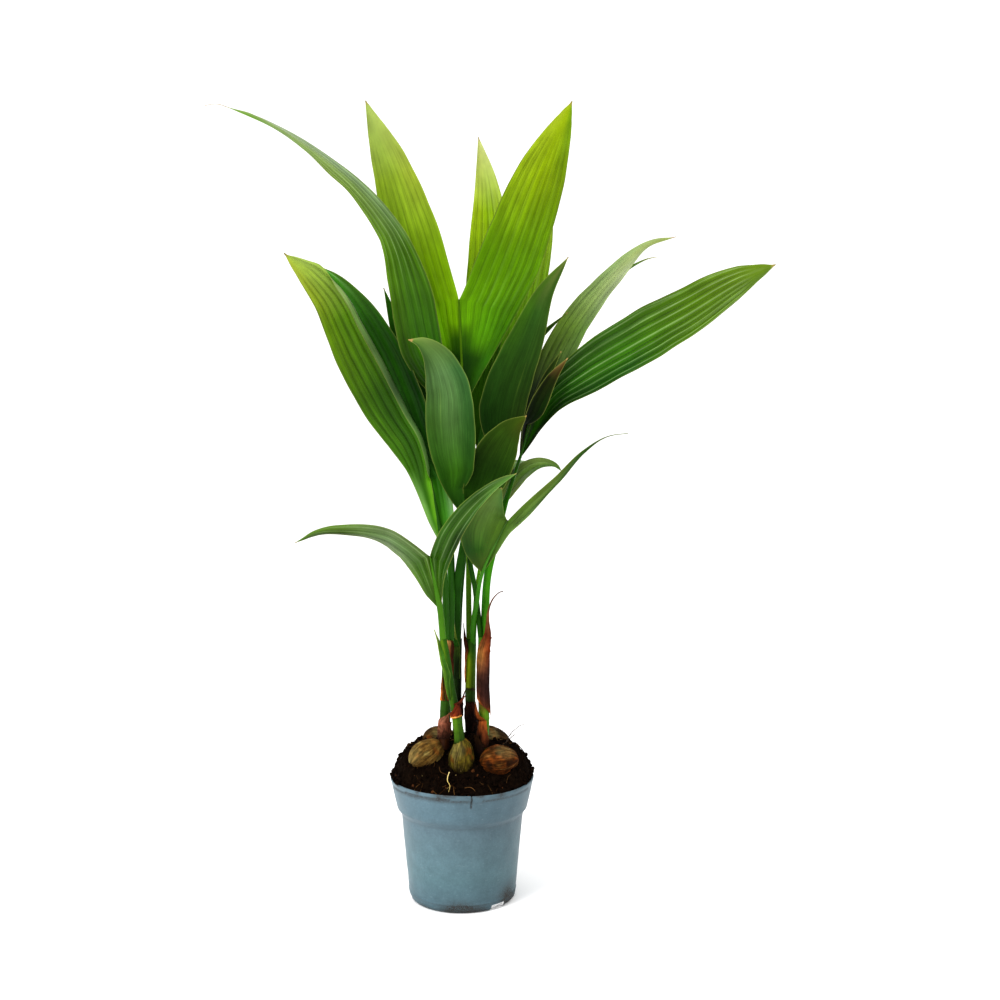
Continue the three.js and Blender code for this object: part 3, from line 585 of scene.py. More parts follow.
def soil_height(x, y):
    """Height of the heaped soil: steep at the sides and back, sloping to the front rim."""
    radius = np.hypot(x, y)
    front = smooth((-y / np.maximum(radius, 1) - 0.1) / 0.8)
    reach = np.minimum(1, radius / SOIL_RADIUS)
    fall = reach ** lerp(8.5, 1.5, front)
    lumps = np.sin(x * 0.31 + 1.3) * np.sin(y * 0.27 + 0.4) + 0.6 * np.sin(x * 0.13 - y * 0.19)
    edge = lerp(SOIL_SIDE + 4 * smooth(x / 50), SOIL_EDGE, front)
    heaps = sum(h * np.exp(-((x - a) ** 2 + (y - b) ** 2) / (w * w)) for a, b, h, w in MOUNDS)
    return lerp(SOIL_TOP, edge, fall) + 1.6 * lumps * (1 - reach**6) + heaps


def make_soil():
    radii = SOIL_RADIUS * np.linspace(1, 0.004, 86) ** 0.9
    angles = np.linspace(0, TAU, 300, endpoint=False)
    profile = [(0, 98), (61, 98), *[(r, 0) for r in radii], (0, 0)]

    def form(r, z, a):
        x, y = r * np.cos(a), r * np.sin(a)
        top = soil_height(x, y)
        place = grid3(x, y, 0)
        edge = smooth((SOIL_RADIUS + 2.5 - r) / 5)
        rise = 1.5 * rough(place * 0.22, 3, 4) + 1.0 * np.abs(rough(place * 0.55, 3, 9))
        top = top + edge * rise
        return r * (1 + 0 * a), np.where(z > 0, z, top) + 0 * a

    base = lathe(profile, angles, form)
    apex = base.co[-1]
    apex[2] = base.co[-3, 2]
    base.tone = shades(SOIL_TONES, 0.5 + 0.5 * rough(base.co * 0.3, 3, 2))
    base.grain = base.co.copy()
    shells = [base]
    for count, lo, hi, level, at_rim in CLODS:
        r = 61.5 * np.sqrt(RNG.random(count))
        a = RNG.random(count) * TAU
        if at_rim:
            a = TAU * (RNG.random(count) * 0.66 - 0.08)
            r = lerp(60, 64.6, RNG.random(count))
        x, y = r * np.cos(a), r * np.sin(a)
        size = lo + (hi - lo) * RNG.random(count) ** 2.2
        z = soil_height(x, y) + 0.9 * noise(grid3(x, y, 0) * 0.22, 4) + size * 0.35
        z = np.where(r > 62.4, np.maximum(z - (r - 62.4) * 1.6, POT_HEIGHT + 0.6 * size), z)
        made = clods(grid3(x, y, z), size, level, 20 + level)
        tint = RNG.random(count)
        tones = shades(SOIL_TONES, tint)
        bright = RNG.random(count)
        tones[bright > 0.96] = linear("4a2e1a")
        tones[bright > 0.994] = linear("7a6a44")
        made.tone = np.repeat(tones, len(made.co) // count, 0)
        shells.append(made)
    for _ in range(260):
        r, a = 60 * math.sqrt(RNG.random()), RNG.random() * TAU
        turn, length = RNG.random() * TAU, 3 + 9 * RNG.random()
        t = np.linspace(-0.5, 0.5, 7)
        bend = RNG.normal() * 2
        x = r * math.cos(a) + length * t * math.cos(turn) - bend * t * t * math.sin(turn) * 3
        y = r * math.sin(a) + length * t * math.sin(turn) + bend * t * t * math.cos(turn) * 3
        far = np.hypot(x, y)
        x, y = x * np.minimum(1, 61 / far), y * np.minimum(1, 61 / far)
        z = soil_height(x, y) + 1.3 + 0.6 * RNG.random() + RNG.normal() * 1.6 * t
        strand = tube(grid3(x, y, z), 0.13 + 0.17 * RNG.random(), 4)
        strand.tone[:] = shades(["140b07", "34200f", "7b5a35"], RNG.random() ** 2.2)
        shells.append(strand)
    piece("soil_heap", shells, SOIL, "soil", "soil")


# ---- nuts
# pale gives the side of each nut that gets a painted highlight.
NUTS = {
    "nut_front_left": dict(
        at=(-31.4, -18, 136), axis=(0.8, 0.28, 0.53), half=17.3, radius=12.9, tones=["4a3416", "6e5428",
        "5a4420", "8a7a48"], pale=(-1, -0.6, 0.2)),
    "nut_front_middle": dict(
        at=(0.2, -28.5, 136.5), axis=(0.05, 0, 1), half=17.5, radius=10.9, tones=["2c260e", "443c14",
        "5c5018", "362c10"], pale=(-0.6, -1, 0.9)),
    "nut_front_right": dict(
        at=(33.5, -22, 131), axis=(1, 0.05, 0.1), half=17.5, radius=14.2, tones=["2c180a", "5a3010",
        "40260c", "664420"], pale=(0.5, -0.5, 1.2)),
    "nut_back_left": dict(
        at=(-21, 27, 137), axis=(1, -0.2, 0.1), half=17, radius=12.4, tones=["2c1f10", "4a3418", "3c2c16"]),
    "nut_back_right": dict(
        at=(26, 25, 137), axis=(1, 0.25, -0.1), half=17.5, radius=12.6, tones=["241a0e", "3c2c18",
        "4c3820"]),
}
NUT_ROWS, NUT_SIDES = 110, 132


def make_nut(name, at, axis, half, radius, tones, pale=(0, -1, 1)):
    seed = sorted(NUTS).index(name) * 10
    at, axis = np.array(at), unit(axis)
    side = unit(np.cross(axis, [0.1, 1, 0.3]))
    other = np.cross(side, axis)
    t = np.linspace(0.006, 1 - 0.006, NUT_ROWS)[:, None]
    a = round_angles(NUT_SIDES)[None, :]
    h = -np.cos(t * math.pi)
    ring = np.sin(t * math.pi)
    egg = 1 - 0.12 * h + 0.025 * np.cos(3 * a + seed) * ring
    place = grid3(np.cos(a) * 6, np.sin(a) * 6, h * 1.4)
    strands = 0.7 * np.abs(noise(place * [1.4, 1.4, 0.9], seed))
    strands = strands + 0.6 * np.abs(noise(place * [3, 3, 1.2], seed + 1))
    strands = strands + 0.4 * noise(place * [6, 6, 2], seed + 2)
    dents = noise(grid3(np.cos(a) * 1.2, np.sin(a) * 1.2, h * 1.5), seed + 3)
    r = radius * ring * egg + (0.6 * strands - 0.25 + 0.6 * dents) * smooth(ring * 1.6)
    up = half * h * (1 + 0.03 * noise(place * 0.6, seed + 4))
    outward = side * np.cos(a)[..., None] + other * np.sin(a)[..., None]
    grid = at + r[..., None] * outward + up[..., None] * axis
    co = np.vstack([grid.reshape(-1, 3), at - axis * half, at + axis * half])
    grain = grid3((h * half + 0 * a).ravel(), (a * radius + 0 * h).ravel())
    grain = np.vstack([grain, [[-half, 0, 0], [half, 0, 0]]])
    shell = Shell(co, [f[:, ::-1] for f in closed(NUT_ROWS, NUT_SIDES)],
                  np.append((t + 0 * a).ravel(), [0, 1]), np.append((a / TAU + 0 * t).ravel(), [0, 0]), grain)
    mottle = 0.5 + 0.55 * rough(grid3(np.cos(a) * 2, np.sin(a) * 2, h * 2), 3, seed + 5)
    # Colour follows the fibre height: painted shade in the grooves between the fibres.
    tone = shades(tones, mottle) * (0.42 + 1.25 * np.clip(strands, 0, 1.2))[..., None]
    way = unit(grid - at)
    patches = rough(grid3(np.cos(a) * 1.6, np.sin(a) * 1.6, h * 2.2), 3, seed + 6)
    rust = smooth(patches * 1.6 - 0.35)[..., None]
    tone = lerp(tone, linear("7a4216"), 0.55 * rust)
    # Painted highlight on the side that faces pale, strongest on the raised fibres.
    painted_highlight = smooth(way @ unit(pale) * 2.4 - 1.5)[..., None]
    tone = lerp(tone, linear("8c8254"), 0.4 * painted_highlight * (0.5 + 0.5 * np.clip(strands, 0, 1))[..., None])
    # Darker towards the bottom: soil on the husk, with painted shade at its foot.
    soil_and_shade_below = smooth((at[2] - 1 - grid[..., 2]) / 12)[..., None]
    tone = lerp(tone, linear("120a06"), soil_and_shade_below * (0.7 + 0.3 * noise(place * 0.7, 2)[..., None]))
    shell.tone = np.vstack([tone.reshape(-1, 3), tone[0, :1], tone[-1, :1]])
    shell.wear_and_shade[:, 0] = 0.15
    shells = [shell]
    for _ in range(60):
        a0, t0, span = RNG.random() * TAU, 0.12 + 0.5 * RNG.random(), 0.12 + 0.3 * RNG.random()
        tt = np.linspace(t0, min(0.95, t0 + span), 12)
        aa = a0 + 0.12 * np.sin(np.linspace(0, 3, 12) + RNG.random() * 6)
        lift = 0.45 + 0.9 * RNG.random() * np.linspace(0, 1, 12) ** 3
        reach = radius * np.sin(tt * math.pi) * (1 + 0.12 * np.cos(tt * math.pi)) + lift
        path = (at + reach[:, None] * (side * np.cos(aa)[:, None] + other * np.sin(aa)[:, None])
                - half * np.cos(tt * math.pi)[:, None] * axis)
        hair = tube(path, np.linspace(0.16, 0.07, 12), 4)
        hair.tone[:] = shades([tones[0], tones[1], "8a7448"], RNG.random() ** 2)
        shells.append(hair)
    slot = "nut_green" if name == "nut_front_middle" else "nut"
    piece(name + "_husk", shells, HUSK, slot, name)


# ---- stems and sheaths
# Stem tones run up the stem; where a "left/right" pair has a darker right, that side is painted shade and the
# left painted light.
STEMS = {
    "stem_front_middle": dict(
        path=[(-1, -28, 147), (-3, -28, 165), (-6.5, -28, 185), (-10, -28, 205), (-13.3, -28, 229),
        (-16, -28, 243)], radii=(4.5, 3),
        tones=[(147, "1c2408/14200a"), (155, "3c6414/2c4c0c"), (172, "5a8c1c/3a6812"),
        (175, "4a7c18/2f540e"), (180, "345e12/1f400a"), (205, "4c7814/28540c"), (243, "548014/30640e")]),
    "stem_front_left": dict(
        path=[(-17, -13, 140), (-16, -13, 152), (-15, -12, 171), (-14, -10, 193), (-13, -9, 220),
        (-12.4, -8, 238)], radii=(5, 4.3),
        tones=[(140, "2c180e"), (158, "4a2c1a"), (170, "2f5412/24440c"), (185, "34601a/2a5010"),
        (192, "6a4a1c/3c2c14"), (205, "3a5a1a/24440c"), (238, "2c5a12/24500e")]),
    "stem_back_left": dict(
        path=[(-4.5, 22, 130), (-4.5, 22, 146), (-5.2, 18, 177), (-5, 12, 207), (-4.4, 9, 236)],
        radii=(4.6, 4.2),
        tones=[(130, "0c0805"), (158, "1c140a"), (178, "1a2f0c/12200a"), (205, "224410/142c0c"),
        (236, "2a5410/16300e")]),
    "stem_back_right": dict(
        path=[(8.6, 18, 128), (8.6, 18, 142), (7.8, 14, 164), (7.3, 11, 188), (8, 9, 217), (8.6, 8, 236)],
        radii=(5, 4.3),
        tones=[(128, "0c0806"), (160, "1a0f0a"), (176, "24380c/1c300a"), (186, "34600e/244c0c"),
        (190, "2c2410"), (191, "241c08"), (193, "7c9a08/3c5c08"), (212, "8cae0c/446c0a"),
        (226, "4c7c10/2c600c"), (236, "2c5c10/245410")]),
    "stem_front_right": dict(
        path=[(18.3, -14, 130), (18.3, -14, 143), (20, -12, 166), (19.3, -9, 193), (19.2, -6, 220),
        (19.3, -4, 240)], radii=(5.2, 4.4),
        tones=[(130, "140c08"), (145, "3c2812/3c5c18"), (156, "4c6a1c/4a7c20"), (172, "5a8020/54841e"),
        (182, "5c4018"), (205, "6a8a24/34500e"), (240, "4c8a18/2c5c10")]),
}
SHEATHS = {
    "sheath_front_middle": ("stem_front_middle", "sheath_green", [dict(
        start=190, to=214, tip=[(-15.5, -28, 228), (-19.6, -27.5, 241), (-23.2, -27, 251.5)],
        up=(-0.9, -1, 0), spans=[40, 90, 110, 120, 140, 150, 60], bulge=1.3,
        tones=["4c7014/2c5010", "587c18/345a12", "5a8018/345c14", "7a942c/3a6418", "a4b05c/8c9850"])]),
    "sheath_base_front_middle": ("stem_front_middle", "sheath_dry", [dict(
        start=174, to=187, tip=[(-1.5, -30, 189), (1, -30, 190.5), (3.6, -29.5, 192.5)], up=(0.3, -1, 0),
        spans=[300, 180, 110, 80, 60, 50, 50], sway=[0, 20, 44, 56, 50, 20, 0],
        tones=["7a3418/5a2414", "70301a/4a1c10", "5c2818/3c180e", "6a3424"]
    ), dict(
        start=173, to=174.2, up=(0, -1, 0), spans=[330, 330],
        tones=["a0601c", "f0b060", "e0a050"])]),
    "sheath_front_left": ("stem_front_left", "sheath_dry", [dict(
        start=184, to=238, up=(0.62, -1, 0), spans=[50, 80, 110, 110, 80],
        tones=["4a2412/2c140c", "8a5430/4a2210", "a06838/5c2c14", "70401e/341a0e", "a07848/4a2814"]
    ), dict(
        start=184, to=205, up=(-0.75, -1, 0), spans=[64, 40, 24, 12],
        tones=["c0742c/5c3414", "a4602c/5c3818", "7c4c24/3c3814"])]),
    "sheath_base_front_left": ("stem_front_left", "sheath_dry", [dict(
        start=151, to=166, tip=[(-13.2, -15, 170), (-10.4, -17, 174)], up=(0.1, -1, 0), spans=[230, 220,
        180, 120, 60],
        tones=["2c1a12", "6a4030/4a2a1c", "96604a/6a3a2a", "9c6850/70402e", "8a5638"]
    ), dict(
        start=150, to=160, up=(-0.7, -1, 0), spans=[200, 150, 60],
        tones=["2c1a12", "6a4430/3c2218", "8a6044/5a3828"])]),
    "sheath_back_left": ("stem_back_left", "sheath_green", [dict(
        start=200, to=234, tip=[(-6.2, 3, 247), (-6.6, -1, 259)], up=(-0.7, -1, 0), spans=[150, 150, 130,
        90, 60], bulge=0.8,
        tones=["1c340c/142809", "28440e/1a300a", "4c6418/3a5210", "8a9444/6a7c2c", "b0a868"])]),
    "flake_back_left": ("stem_back_left", "sheath_dry", [dict(
        start=162, to=178, tip=[(-1, 14, 184), (3.2, 10, 190)], up=(1, -0.6, 0), spans=[120, 80, 40],
        tones=["1c0c08", "4a2014", "7a3c24"])]),
    "sheath_back_right": ("stem_back_right", "sheath_dry", [dict(
        start=196, to=226, tip=[(5.2, 5, 236), (3, 3.5, 246), (1.6, 3, 252)], up=(-1, -0.55, 0), spans=[16,
        20, 26, 60, 110, 90, 40],
        tones=["b06a38", "c8844c", "a05c30", "4a2414", "34180e", "24100a"])]),
    "sheath_base_back_right": ("stem_back_right", "sheath_dry", [dict(
        start=138, to=178, up=(0, -1, 0), spans=[270, 250, 180, 60],
        tones=["0a0605", "100806", "1c0e0a", "3a1c12"]
    ), dict(
        start=134, to=158, up=(0.7, -1, 0), spans=[200, 150, 60],
        tones=["0a0605", "1c100a", "2c1810"])]),
    "sheath_front_right": ("stem_front_right", "sheath_dry", [dict(
        start=178.5, to=230, tip=[(22.2, -6.5, 243), (22.9, -9, 252), (24.2, -11, 266),
        (28.2, -12.5, 276.5), (34, -13.5, 282.5), (37.5, -14, 283.5)], up=(0, -1, 0), spans=[210, 220, 225,
        210, 175, 140, 100, 60, 50, 50, 50], sway=[0, 0, 4, 10, 22, 32, 26, 10, 0, 0, 0], peel=[0.1, 0.1,
        0.2, 0.5, 0.5, 0.3, 0], slant=-9.5, bulge=0.6,
        # The darker stops from 0.09 to 0.24 are a painted shadow across the sheath.
        tones=[(0, "c07030/8a4820"), (0.03, "6a3820/4a2818"), (0.09, "4a2820/38201a"),
        (0.16, "3c241c/2c1a18"), (0.24, "4a2c20/34201c"), (0.32, "7c5030/4a281c"), (0.42, "8a6030/70381c"),
        (0.5, "7a4a26/8a4420"), (0.58, "6a3018/5c2814"), (0.75, "8a6240/6a4028"), (1, "5c3c30")]
    ), dict(
        start=222, to=240, up=(1, -0.3, 0), spans=[40, 30, 12], peel=[0.4, 0.8, 1.6],
        tones=["5c2814", "7a3c20", "9c5c34"])]),
    "sheath_base_front_right": ("stem_front_right", "sheath_dry", [dict(
        start=141, to=168, tip=[(15.4, -17, 174), (12.6, -17.5, 184)], up=(-0.5, -1, 0), spans=[200, 170,
        140, 110, 80, 50], sway=[0, 0, -10, -20, -10, 0], slant=2,
        tones=["100806/1c0f0a", "140a08/5c3018", "1c0f0a/8a4a20", "34180e/8a4a20", "7a4420/5c3018"]
    ), dict(
        start=134, to=152, up=(-1, -0.8, 0), spans=[180, 140, 60], peel=[0.6, 1, 2],
        tones=["0f0806", "1c100b", "34200f"])]),
}
SHEATH_GAP, SHEATH_THICKNESS = 0.55, 0.45
STEM_TINT = [0.86, 0.74, 0.5]


def make_stem(name, path, radii, tones):
    """A bundle of leaf bases rolled round each other, with ring scars and rolled edges."""
    seed = sorted(STEMS).index(name)
    line = spaced(path, 130)
    sides = 56
    z = line[:, 2:3]
    u = (z - z[0]) / (z[-1] - z[0])
    a = round_angles(sides)[None, :]
    r = lerp(radii[0], radii[1], u) + 0.9 * np.exp(-u * 14)
    for k in range(3):
        turn = (a - 0.9 * k * 2.1 - seed - 1.3 * u) % TAU
        r = r - 0.36 * np.exp(-turn / 0.16) * smooth((u - 0.22 * k) * 9)
        r = r + 0.12 * hump(turn - 0.35, 0.02**0.5)
    r = r + 0.07 * np.cos(a * 19 + 2 * np.sin(u * 5))
    r = r + 0.16 * noise(grid3(np.cos(a), np.sin(a), z * 0.1), seed)
    for k, at in enumerate((0.12, 0.2, 0.33)):
        r = r - 0.22 * hump(u - at + 0.006 * np.sin(a + k), 0.006) + 0.2 * hump(u - at - 0.014, 0.012)
    shell = tube(line, r, sides)
    middle = np.stack([np.interp(shell.co[:, 2], line[:, 2], line[:, k]) for k in range(2)], 1)
    right = 0.5 + 0.5 * (shell.co[:, 0] - middle[:, 0]) / radii[1]
    # Across the stem the darker right codes are painted shade and the lighter left ones painted light.
    tone = paired(tones, shell.co[:, 2] + 2.5 * noise(shell.co * 0.35, seed), right, 0.5)
    edge = hump((shell.v * TAU - seed - 1.3 * shell.u) % TAU - 0.2, 0.02**0.5)[:, None]
    tone = lerp(tone, linear("7c8a3a"), 0.22 * edge)
    shell.tone = tone * STEM_TINT * (1 + 0.16 * np.sin(shell.v * TAU * 19))[:, None]
    shell.wear_and_shade[:, 0] = 0.35 * smooth(1 - shell.u * 2.2)
    piece(name + "_skin", [shell], STEM, "stem", name)


def make_scale(seed, on, slot, start, to, up, spans, tones,
               tip=(), sway=(0,), peel=(0,), slant=0, bulge=1.0):
    """A thin scale round a stem, ribbed along its length, with a torn edge and a free tip."""
    path, radii = STEMS[on]["path"], STEMS[on]["radii"]
    fine = spaced(path, 60)
    levels = [[np.interp(lerp(start, to, t), fine[:, 2], fine[:, k]) for k in range(3)]
              for t in (0, 0.33, 0.67, 1)]
    rows, cols = 72, 44
    line = spaced([*levels, *tip], rows)
    end = tip[-1][2] if tip else to
    u = np.linspace(0, 1, rows)
    stem = lerp(radii[0], radii[1], np.clip((line[:, 2] - path[0][2]) / (path[-1][2] - path[0][2]), 0, 1))
    snug = stem + SHEATH_GAP + SHEATH_THICKNESS / 2
    free = smooth((line[:, 2] - to) / (end - to)) ** bulge if tip else 0 * u
    radius = lerp(snug, 0.7, free) + stretched(peel, u)
    along = unit(np.gradient(line, axis=0))
    facing = unit(up - along * (along @ np.array(up, float))[:, None])
    across = np.cross(along, facing)
    half = np.radians(stretched(spans, u)) / 2
    s = np.linspace(-1, 1, cols)
    torn = 1 + 0.16 * noise(grid3(u * 9, 0.5, seed)) + 0.08 * noise(grid3(u * 31, 1.5, seed))
    angle = (half * torn)[:, None] * s[None, :] + np.radians(stretched(sway, u))[:, None]
    place = grid3(u[:, None] * 7, s[None, :] * 3, seed)
    lift = 0.45 * np.abs(s[None, :]) ** 4 * (0.5 + u[:, None]) * (1 + noise(place, seed))
    lift = lift * (1 - free[:, None] * 0.7)
    ribs = 0.1 * np.cos(s[None, :] * 26 + 1.5 * noise(place * [1, 0, 1], 3))
    ribs = ribs + 0.22 * noise(place * 1.4, seed)
    reach = radius[:, None] + (lift + ribs) * (1 - 0.6 * free[:, None])
    grid = (line[:, None] + reach[..., None] * (facing[:, None] * np.cos(angle)[..., None]
                                                + across[:, None] * np.sin(angle)[..., None]))
    grid = grid + along[:, None] * ((1 - u[:, None]) ** 3 * slant * s[None, :])[..., None]
    rag = 1.6 * noise(grid3(s * 5, 3.3, seed)) + 1.0 * noise(grid3(s * 14, 5.1, seed))
    if not tip:
        rag = rag * min(1, (to - start) / 14)
        grid = grid + along[:, None] * (smooth((u - 0.6) / 0.4)[:, None] * rag[None, :])[..., None]
    shell = sheet(grid, SHEATH_THICKNESS * (0.45 + 0.55 * smooth((1 - np.abs(s)) * 6))[None, :])
    flutter = 0.5 + 0.5 * rough(np.stack([shell.u * 5, shell.v * 4, 0 * shell.u + seed], -1), 3, seed)
    streaks = rough(np.stack([shell.u * 2.5, shell.v * 17, 0 * shell.u + seed], -1), 2, seed)
    shift = flutter - 0.5
    tone = paired(tones, np.clip(shell.u + 0.05 * shift, 0, 1), shell.v + 0.2 * shift, 0.5)
    tone = tone * ((0.75 + 0.5 * flutter) * (1 + 0.35 * streaks))[:, None]
    rim = smooth((np.abs(shell.v * 2 - 1) - 0.8) / 0.2)[:, None]
    shell.tone = lerp(tone, tone * 0.55 if slot == "sheath_dry" else linear("6c8438"), 0.5 * rim)
    shell.wear_and_shade[:, 0] = 0.8 if slot == "sheath_dry" else 0.2
    return shell


def make_sheath(name, on, slot, scales):
    seed = 40 + sorted(SHEATHS).index(name)
    shells = [make_scale(seed + 20 * k, on, slot, **scale) for k, scale in enumerate(scales)]
    piece(name + "_scale", shells, SHEATH_DRY if slot == "sheath_dry" else SHEATH_GREEN, slot, name)


